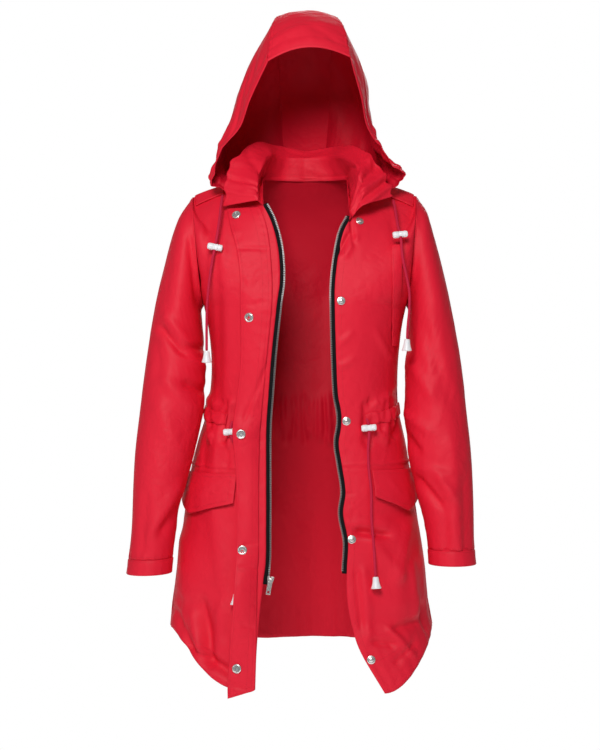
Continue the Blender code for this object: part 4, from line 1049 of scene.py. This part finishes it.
cloth("hood_centre_panel", panel, "hood_centre", (0.145, 0.52), "draped", 0.051, inside=INSIDE_PAINTED_SHADE)
stitches("stitches_hood_centre", [
    (panel, (0.25, 0.25), (0, 1)), (panel, (0.02, 0.99), (0.05, 0.05)), (panel, (0.02, 0.99), (0.95, 0.95)),
    (panel, (0.025, 0.025), (0, 1))])


# ---- Collar. A doubled stand that is rolled outwards over the hood's neck seam, with its free edge lying
# towards the shoulders; it is gathered a little where it is sewn on.
# Collar, from its front end (0) to the centre back (1): seam, roll line and free edge
COLLAR = {
    RIGHT: (
        (0, -71, -82, -30, -79, -91, -26, -133, -62, -33),
        (0.2, -77, -60, -17, -78, -77, 2, -134, -56, 5), (0.4, -78, -35, 0, -75, -52, 25, -127, -42, 35),
        (0.6, -75, -5, 20, -65, -25, 47, -107, -18, 64), (0.75, -69, 25, 25, -58, 12, 60, -82, 20, 84),
        (0.9, -38, 57, 27, -34, 52, 62, -44, 74, 84), (1, 0, 65, 27, 0, 62, 62, 0, 87, 78),
    ),
    LEFT: (
        (0, 77, -86, -49, 93, -94, -36, 146, -58, -17), (0.2, 77, -66, -32, 93, -84, -5, 141, -50, 6),
        (0.4, 77, -40, -6, 90, -62, 24, 129, -40, 29), (0.6, 75, -6, 19, 76, -30, 47, 108, -22, 58),
        (0.75, 69, 25, 25, 58, 12, 60, 82, 18, 77), (0.9, 38, 57, 27, 34, 52, 62, 44, 74, 82),
        (1, 0, 65, 27, 0, 62, 62, 0, 87, 78),
    ),
}


def collar_half(side, station, over=44):
    """The collar's section at each station, from its seam up to the roll line and out to the free edge."""
    rows = curve_through(COLLAR[side], station).reshape(len(station), 3, 3)
    seam, roll, free = rows[:, 0], rows[:, 1], rows[:, 2]
    t = np.linspace(0, 1, over)
    ts = np.interp(t, (0, 0.22, 0.40, 0.50, 1), (0, 0.5, 0.9, 1.0, 1.0))
    tf = np.interp(t, (0, 0.40, 0.50, 0.62, 0.8, 1), (0, 0.0, 0.06, 0.3, 0.65, 1.0))
    rise = seam[:, None] + (roll - seam)[:, None] * ts[None, :, None]
    return rise + (free - roll)[:, None] * tf[None, :, None]


# Creases of the collar, by the run from its right end to its left one and the run out from its seam
COLLAR_CREASES = (
    (455, 4, 428, 30, 4.5, -3.2), (447, 3, 408, 26, 4.5, 3), (432, 2, 394, 24, 4.5, -3),
    (414, 3, 380, 28, 5, 2.4), (458, 40, 426, 68, 6, 3.4), (442, 36, 404, 68, 5.5, -4),
    (420, 34, 384, 68, 6.5, 3.6), (402, 30, 352, 64, 6.5, -3.4), (372, 34, 330, 66, 8, 2.6),
    (300, 6, 352, 30, 6, -2.4), (4, 6, 30, 34, 5, -2.6), (12, 36, 30, 68, 5, 2.2),
    (44, 32, 62, 68, 6, -2.8), (30, 42, 104, 47, 6, 2.2), (92, 30, 142, 62, 7, -2.8),
    (150, 8, 178, 40, 8, 2.2), (206, 10, 216, 44, 7, -2),
)
COLLAR_STATIONS = np.linspace(0, 1, 110)
COLLAR_RUN, COLLAR_DEPTH = 460.0, 70.0
halves = [collar_half(side, COLLAR_STATIONS) for side in (RIGHT, LEFT)]
collar = np.concatenate([halves[0], halves[1][::-1][1:]])
run = np.linspace(0, COLLAR_RUN, len(collar))[:, None]
t = np.linspace(0, 1, collar.shape[1])[None, :]
high = 1.5 * ripple(run * 0.8) * hump(t, 0.12, 0.06) + ripple(run * 0.5 + 9) * hump(t, 0.1, 0.9)
high = high + 1.8 * np.sin(run / 21 + 1.2 * np.sin(run / 37)) * hump(t, 0.25, 0.7)
high += fold_height(np.stack(np.broadcast_arrays(run, 0.0, t * COLLAR_DEPTH), -1), COLLAR_CREASES)
collar = collar + (collar[:, -1:] - collar[:, -3:-2]) * (0.9 * t**5 * ripple(run * 0.55 + 3))[..., None]
amount = 0.7 * soft_step(t * 6) * soft_step((1 - t) * 8)
collar = crumpled(collar - normals(collar) * high[..., None], 14.0, amount, True)
foot = collar[:, :1] + unit(-collar[:, :1] * (1, 1, 0)) * 3.6 - (0, 0, 5.5)
sewn = np.concatenate([foot, collar], axis=1)
cloth("collar_piece", sewn, "collar", (0.50, 0.085), "folded", wall=1.3, flip=True)
stitches("stitches_collar", [(collar, (0.008, 0.992), (share, share)) for share in (0.93, 0.07)], True)


# ---- Storm flap. A doubled strip of the same cloth, sewn along the right zip edge and standing off it to
# cover the zip when it is shut; a row of stitches runs round it and it bellies out over the waist cord.
# The storm flap, from its top: seam x, z, free edge x, z, and how far the free edge stands off
STORM_FLAP = (
    (-74, -38, -128.5, -40, 5), (-64, -66, -124, -66, 5), (-58, -101, -113.5, -103, 6),
    (-54, -154, -107, -146, 6), (-54, -194, -104.5, -194, 6), (-58, -240, -103, -240, 6),
    (-64, -300, -104, -300, 6), (-70.5, -369, -109.5, -369, 12), (-73.7, -412, -110.5, -412, 21),
    (-75.8, -470, -110, -470, 12), (-76, -540, -109, -540, 10), (-76, -600, -109.3, -600, 12),
    (-78, -660, -111, -660, 22), (-78.5, -700, -114, -700, 20), (-79.7, -765, -122.5, -765, 7),
    (-81, -812, -125, -812, 5), (-82.5, -826, -125, -840, 4.5),
)
FLAP_SEAM_LIFT, FLAP_STEP = 3.4, 50.0     # the seam stands off this far; a row is about this long
FLAP_CREASES = (
    (-106, -106, -65, -107, 4, -1.8), (-62, -300, -98, -382, 4.5, -2.6), (-70, -280, -84, -360, 7, 2),
    (-96, -590, -80, -588, 3.5, -1.8), (-106, -627, -74, -629, 3.5, -1.8),
    (-104, -604, -80, -610, 6, 1.6), (-98, -722, -84, -727, 4, -1.4), (-110, -820, -92, -824, 4, -1.6),
    (-90, -160, -96, -230, 12, 1.2), (-88, -460, -94, -560, 13, 1.8), (-100, -200, -60, -196, 5, -1),
)


def storm_flap(row, q, lift=0.0):
    """The storm flap's outer face: row counts along STORM_FLAP, q runs from its seam to its free edge."""
    row, q = np.broadcast_arrays(np.asarray(row, float), np.asarray(q, float))
    table = [(i, *values) for i, values in enumerate(STORM_FLAP)]
    sx, sz, fx, fz, stand = np.moveaxis(curve_through(table, row), -1, 0)
    away = FLAP_SEAM_LIFT + (stand - FLAP_SEAM_LIFT) * np.sin(q * math.pi / 2)
    return on_front(RIGHT, sx + (fx - sx) * q, sz + (fz - sz) * q, away + lift)


row = np.linspace(0, len(STORM_FLAP) - 1, 330)[:, None]
share = np.linspace(0, 1, 26)[None, :]
flap = storm_flap(row, share)
run = row * FLAP_STEP
high = fold_height(flap, FLAP_CREASES) + 0.5 * ripple(run) * hump(share, 0.1, 0.1)
high += 0.7 * ripple(run * 0.7 + 13) * hump(share, 0.12, 0.88)
flap = crumpled(flap + normals(flap) * high[..., None], 17.0, 0.45)
cloth("storm_flap_strip", flap, "storm_flap", (0.045, 0.825), "hung", wall=1.4)
stitches("stitches_storm_flap", [
    (flap, (0.004, 0.993, 0.993, 0.004), (0.12, 0.12, 0.9, 0.9)), (flap, (0.004, 0.993), (0.3, 0.3))])


# ---- Pocket flaps, drawcord casings, shoulder tabs and chest pocket. All are sewn on the coat's outside:
# pointed flaps over the pocket mouths, a strip round the waist gathered by its cord, a tab over each
# shoulder and a welt beside the left sleeve.
# Pocket flaps: across at the front corner, at the tip and at the side; z of the top; drops at the same three
POCKET_FLAP = {
    RIGHT: ((0.26, 0.71, 0.975), -477.0, (48.0, 69.0, 46.0)),
    LEFT: ((0.275, 0.66, 0.975), -471.0, (42.0, 70.0, 46.0)),
}
# Drawcord casing: across at its inner end, z of its middle there and at the side seam, half height
CASING = {RIGHT: (0.42, -389.0, -378.0), LEFT: (0.27, -388.0, -371.0)}
CASING_HALF = 10.0
CASING_CENTRE_BACK = -385.0

# The chest pocket's welt: x of its two sides and z, at its top and at its bottom
CHEST_POCKET = ((142.0, 160.0, -101.0), (143.0, 154.0, -266.0))
# A flap's creases count its width and its drop as these
POCKET_WIDTH, POCKET_DROP = 110.0, 60.0
POCKET_CREASES = ((20, 12, 38, 34, 6, 1.5), (84, 10, 70, 40, 7, -1.5), (48, 20, 56, 48, 6, 1.2))


def ring_of(row, column):
    """A closed row of stitches round a patch, as shares of its rows and of its columns."""
    return (row, 1 - row, 1 - row, row, row), (column, column, 1 - column, 1 - column, column)


for side, word in SIDES:
    flip = side == LEFT
    stops, top, drops = POCKET_FLAP[side]
    c = np.linspace(0, 1, 70)[None, :]
    across, drop = np.interp(c, (0, 0.5, 1), stops), np.interp(c, (0, 0.5, 1), drops)
    share = np.linspace(0, 1, 36)[:, None]
    z = top - share * drop
    edge = np.minimum(np.minimum(c, 1 - c) * POCKET_WIDTH, (1 - share) * drop)
    pucker = 0.5 * ripple(c * 120 + share * 90) * hump(edge, 4, 6)
    belly = 2.2 * np.sin(share * math.pi) * np.sin(c * math.pi)
    place = np.stack(np.broadcast_arrays(c * POCKET_WIDTH, 0.0, share * POCKET_DROP), -1)
    lift = 3.2 + 5.0 * share**1.5 + pucker + belly + fold_height(place, POCKET_CREASES) * share
    flap = front(side, front_level_at(side, across, z), across, lift)
    flap = crumpled(flap, 20.0 + side, 0.4, flip)
    cloth(
        f"pocket_flap_piece_{word}", flap, f"pocket_flap_{word}", (0.14, 0.071), "hung", 0.0085, wall=1.4,
        flip=flip)
    stitches(f"stitches_pocket_{word}", [
        (flap, (0.05, 0.88, 0.88, 0.05), (0.06, 0.06, 0.94, 0.94)), (flap, (0.1, 0.1), (0.02, 0.98))], flip)

    inner, z_in, z_side = CASING[side]
    across = np.linspace(inner, 0.996, 130)[None, :]
    share = (across - inner) / (1 - inner)
    v = np.linspace(-1, 1, 15)[:, None]
    wave = ripple(share * 150 + side * 4) * soft_step((1 - share) * 8)
    z = z_in + (z_side - z_in) * share - v * CASING_HALF + 1.2 * np.sin(share * 26 + 2 * side) * v
    lift = 1.3 + 1.5 * (1 - v**4) * soft_step((1 - share) * 10) + wave * (1 - 0.5 * v * v)
    band = front(side, front_level_at(side, across, z), across, lift, FRONT_CREASES[side])
    cloth(f"casing_strip_{word}", band, f"casing_front_{word}", (0.125, 0.021), "gathered", flip=flip)
    stitches(f"stitches_casing_{word}", [(band, (share, share), (0.01, 1)) for share in (0.12, 0.88)], flip)

    level = np.linspace(0.56, 0.97, 40)[:, None]
    lift = 2.2 + 0.7 * (1 - np.linspace(-1, 1, 40)[:, None] ** 6)
    fore = front(side, level, np.linspace(0.875, 0.997, 14)[None, :], lift)
    aft = back(level, side * np.linspace(0.997, 0.90, 12)[None, :], lift)
    tab = np.concatenate([fore, aft], axis=1)
    cloth(f"shoulder_tab_{word}", tab, f"epaulette_{word}", (0.062, 0.051), "laid", wall=1.4, flip=flip)
    stitches(f"stitches_tab_{word}", [(tab, *ring_of(0.08, 0.1))], flip)

across = np.linspace(-0.996, 0.996, 260)[None, :]
side_z = np.where(across < 0, CASING[RIGHT][2], CASING[LEFT][2])
v = np.linspace(-1, 1, 15)[:, None]
z = CASING_CENTRE_BACK + (side_z - CASING_CENTRE_BACK) * across**2 - v * CASING_HALF
z = z + 1.2 * np.sin(across * 48) * v
lift = 1.6 + 1.7 * (1 - v**4) + 1.3 * ripple(across * 170 + 3) * (1 - 0.6 * v * v)
band = back(level_at(back_base, across, z), across, lift, BACK_CREASES)
cloth("casing_strip_back", band, "casing_back", (0.44, 0.021), "gathered")
stitches("stitches_casing_back", [(band, (share, share), (0.0, 1)) for share in (0.12, 0.88)])

top, bottom = np.array(CHEST_POCKET)
share, over = np.linspace(0, 1, 110)[:, None], np.linspace(0, 1, 16)
rows = top + (bottom - top) * share
x = rows[:, :1] + (rows[:, 1:2] - rows[:, :1]) * over
puff = 0.9 * np.sin(over * math.pi)[None, :] + 0.5 * ripple(share * 150)
patch = on_front(LEFT, x, rows[:, 2:], 3.0 + puff)
cloth("chest_pocket_welt", patch, "chest_pocket", (0.023, 0.175), "laid", wall=1.3, flip=True)
stitches("stitches_chest_pocket", [(patch, *ring_of(0.03, 0.14))], True)


# ---- Zip. Black woven tape beside each front edge, metal teeth along it, and the slider with its pull
# near the foot of the right tape.
TAPE_OUT = (8.0, 6.0, 4.0, 2.0, 0.9, -2.0)    # the tape's rows, out from the front's edge
TAPE_SEWN_IN = 4.5                            # the last of them lies this far inside the front
TAPE_END = {RIGHT: 3.662, LEFT: 3.635}        # the right tape ends inside the slider
INTO_SLIDER = 2.6                             # and bends this far forwards to get there
SLIDER_AT, SLIDER_LEAN = (-56.5, -128.0, -647.5), math.radians(10)
PIN_Y, PIN_Z, PIN_RADIUS, PIN_HALF = -5.4, 1.5, 0.8, 3.7
TOOTH_PITCH = 2.9
TAPE_WEAVE, TAPE_RIB = 0.0009, 0.00006
# a tooth's block at its foot, its shoulder and its tip: how far out, half height, half thickness
TOOTH = ((5.9, 0.45, 0.95), (8.2, 0.5, 1.0), (8.9, 0.7, 0.8))


def zip_tape(side, level, out):
    """A tape beside the zip edge, so far out from it towards the middle of the coat."""
    edge = curve_through(EDGE[side], level)
    if side == RIGHT:
        edge[:, 1] -= INTO_SLIDER * soft_step((level - 3.59) / 0.045)
    run = unit(curve_through(EDGE[side], level + 0.01) - curve_through(EDGE[side], level - 0.01))
    away = np.stack([run[..., 2] * side, np.zeros(level.shape), -run[..., 0] * side], axis=-1)
    return edge[:, None, :] + away[:, None, :] * np.asarray(out)[None, :, None]


def tape_height(place, uv):
    """Height of a woven tape: two fine waves that cross."""
    return waves(*(uv.axis(name) * (2 * math.pi / TAPE_WEAVE) for name in "XY")) * TAPE_RIB


BLACK = finish_with("zip_tape", (0.007, 0.007, 0.008), 0.85, gloss=0.12, build=tape_height)
STEEL = finish_with("nickel", (0.84, 0.83, 0.81), 0.27, metallic=0.9)
# the zip teeth's own dull grey metal; on the snap sockets' cups the same darker metal is painted shade in
# the recess
TEETH_METAL_AND_PAINTED_CUP_SHADE = finish_with("zip_teeth", (0.42, 0.42, 0.42), 0.42, metallic=0.6)
lean = Matrix.Translation(Vector(SLIDER_AT) * MM) @ Matrix.Rotation(SLIDER_LEAN, 4, "Y")
for side, word in SIDES:
    tape = zip_tape(side, np.linspace(0, TAPE_END[side], 260), np.array(TAPE_OUT))
    tape[:, -1, 1] += TAPE_SEWN_IN
    cloth(
        f"zip_tape_strip_{word}", tape, f"zip_tape_{word}", (0.0125, 0.61), "hung", flip=side == LEFT,
        finish=BLACK, slot="zip_tape", wall=0.8)

    line = zip_tape(side, np.linspace(0.02, TAPE_END[side] - 0.006, 3000), np.array([0.0]))[:, 0]
    walked = walked_along(line)
    at = np.arange(2.0, walked[-1], TOOTH_PITCH)
    middle = points_at(line, walked, at)
    way = unit(points_at(line, walked, at + 1) - middle)
    out = unit(np.stack([way[:, 2] * side, 0 * at, -way[:, 0] * side], 1))
    face = np.cross(way, out)
    corners = []
    for far, high, thick in TOOTH:
        for i, j in ((-1, -1), (1, -1), (1, 1), (-1, 1)):
            corners.append(middle + out * far + way * (i * high) + face * (j * thick))
    points = np.stack(corners, 1)
    one = [(0, 1, 2, 3), (8, 11, 10, 9)]
    for r in (0, 4):
        one += [(r + k, r + 4 + k, r + 4 + (k + 1) % 4, r + (k + 1) % 4) for k in range(4)]
    faces = (np.array(one)[None] + (np.arange(len(at)) * 12)[:, None, None]).reshape(-1, 4)
    if np.dot(np.cross(points[0, 1] - points[0, 0], points[0, 2] - points[0, 0]), out[0]) > 0:
        faces = faces[:, ::-1]
    mesh_piece(f"zip_teeth_{word}", points.reshape(-1, 3), faces, TEETH_METAL_AND_PAINTED_CUP_SHADE, None, smooth=False)


def bevelled(made, width):
    """Sets a piece into the slider's place and rounds its edges."""
    made.data.transform(lean)
    bevel = made.modifiers.new("round", "BEVEL")
    bevel.width, bevel.segments = width * MM, 3
    return made


def box(name, middle, size, round_off, body=COAT, node=None):
    """A bevelled metal box in the slider's own frame."""
    corners = np.array([(i, j, k) for i in (-1, 1) for j in (-1, 1) for k in (-1, 1)]) * np.array(size) / 2
    faces = [(0, 1, 3, 2), (4, 6, 7, 5), (0, 4, 5, 1), (2, 3, 7, 6), (0, 2, 6, 4), (1, 5, 7, 3)]
    made = mesh_piece(name, corners + middle, faces, STEEL, node, body, smooth=False)
    return bevelled(made, round_off)


# the slider's outline, as x, z: wide at the shoulders, where the tapes part, and narrow at the foot
SLIDER_OUTLINE = (
    (-5.4, 5.0), (-1.3, 5.0), (0.0, 3.8), (1.3, 5.0), (5.4, 5.0), (5.5, 1.0), (4.4, -3.0), (3.6, -5.0),
    (-3.6, -5.0), (-4.4, -3.0), (-5.5, 1.0))
count = len(SLIDER_OUTLINE)
for word, near, far in (("front", -3.0, -1.4), ("rear", 1.4, 3.0)):
    points = [(x, y, z) for y in (near, far) for x, z in SLIDER_OUTLINE]
    faces = [tuple(range(count)), tuple(range(2 * count - 1, count - 1, -1))]
    faces += [(i, i + count, (i + 1) % count + count, (i + 1) % count) for i in range(count)]
    bevelled(mesh_piece(f"slider_{word}", points, faces, STEEL, "zip_slider", smooth=False), 0.35)
box("slider_post", (0, 0, 2.0), (2.6, 3.2, 3.6), 0.3, node="zip_slider")
for side, word in SIDES:
    box(f"slider_lug_{word}", (side * 3.1, -4.9, PIN_Z), (1.4, 4.4, 3.2), 0.3, node="zip_slider")
PIN = ((0.1, -PIN_HALF), (PIN_RADIUS, -PIN_HALF), (PIN_RADIUS, PIN_HALF), (0.1, PIN_HALF))
KNUCKLE = ((0.95, -2.0), (1.7, -2.0), (1.9, -1.8), (1.9, 1.8), (1.7, 2.0), (0.95, 2.0))
ACROSS_SLIDER = (1, 0, 0)
pin = turned("slider_pin", PIN, 16, (0, PIN_Y, PIN_Z), ACROSS_SLIDER, STEEL, "zip_slider")
pin.data.transform(lean)

pull = box("pull_plate", (0, PIN_Y, -13.5), (7.6, 1.5, 21.0), 0.5, "pull", "zip_pull")
slot = box("pull_slot", (0, PIN_Y, -20.0), (3.2, 4.0, 3.6), 0.5, "pull")
bored(pull, slot)
box("pull_neck", (0, PIN_Y, -1.8), (3.8, 1.4, 4.4), 0.3, "pull", "zip_pull")
knuckle = turned(
    "pull_knuckle", KNUCKLE, 24, (0, PIN_Y, PIN_Z), ACROSS_SLIDER, STEEL, "zip_pull", "pull")
knuckle.data.transform(lean)


# ---- Snaps. Nickel-plated press fasteners: ring sockets down the storm flap and studs down the left front.
# Socket snaps on the storm flap: row of STORM_FLAP, share of its width
SOCKETS = ((0.50, 0.75), (4.60, 0.71), (8.00, 0.69), (11.00, 0.73), (14.50, 0.68))
# Stud snaps on the left front: x, z
STUDS = ((90.0, -60.0), (58.5, -193.5), (67.5, -390.0), (76.0, -583.0), (107.0, -777.0))
# radius and height
SOCKET_RING = (
    (5.0, -0.6), (7.3, -0.6), (7.6, 0.0), (7.8, 0.6), (7.7, 1.1), (7.2, 1.7), (6.6, 2.1), (6.0, 2.2),
    (5.4, 2.0), (5.0, 1.4), (4.8, 0.6), (4.8, -0.4))
SOCKET_CUP = (
    (4.9, -0.5), (4.7, 0.2), (3.9, 0.1), (3.6, 0.9), (3.2, 1.3), (2.7, 1.3), (2.4, 0.9), (2.2, 0.0),
    (0.1, -0.1))
STUD = (
    (6.7, -0.4), (6.9, 0.2), (6.8, 0.7), (6.2, 1.1), (4.6, 1.2), (3.6, 1.3), (3.0, 1.8), (2.7, 2.4),
    (2.8, 3.1), (2.6, 3.6), (1.8, 3.9), (0.1, 4.0))
SNAP_LIFT = 0.9     # a snap's foot stands this far off the cloth's face


def seated(surface, a, b, step=0.01):
    """Where a snap sits on a surface and its outward normal, facing away from the wearer (towards -Y)."""
    point = surface(a, b)
    along, over = surface(a + step, b) - surface(a - step, b), surface(a, b + step) - surface(a, b - step)
    n = unit(np.cross(along, over))
    n = n * (-1 if n[1] > 0 else 1)
    return point + n * SNAP_LIFT, n


for i, (row, q) in enumerate(SOCKETS, 1):
    foot, way = seated(storm_flap, row, q)
    turned(f"socket_ring_{i}", SOCKET_RING, 36, foot, way, STEEL, f"snap_socket_{i}")
    # the cup inside each ring is darker metal: painted shade in the socket's recess
    turned(f"socket_cup_{i}", SOCKET_CUP, 30, foot, way, TEETH_METAL_AND_PAINTED_CUP_SHADE, f"snap_socket_{i}")
for i, (x, z) in enumerate(STUDS, 1):
    foot, way = seated(lambda a, b: on_front(LEFT, a, b), x, z, 0.5)
    turned(f"stud_{i}", STUD, 36, foot, way, STEEL, f"snap_stud_{i}")
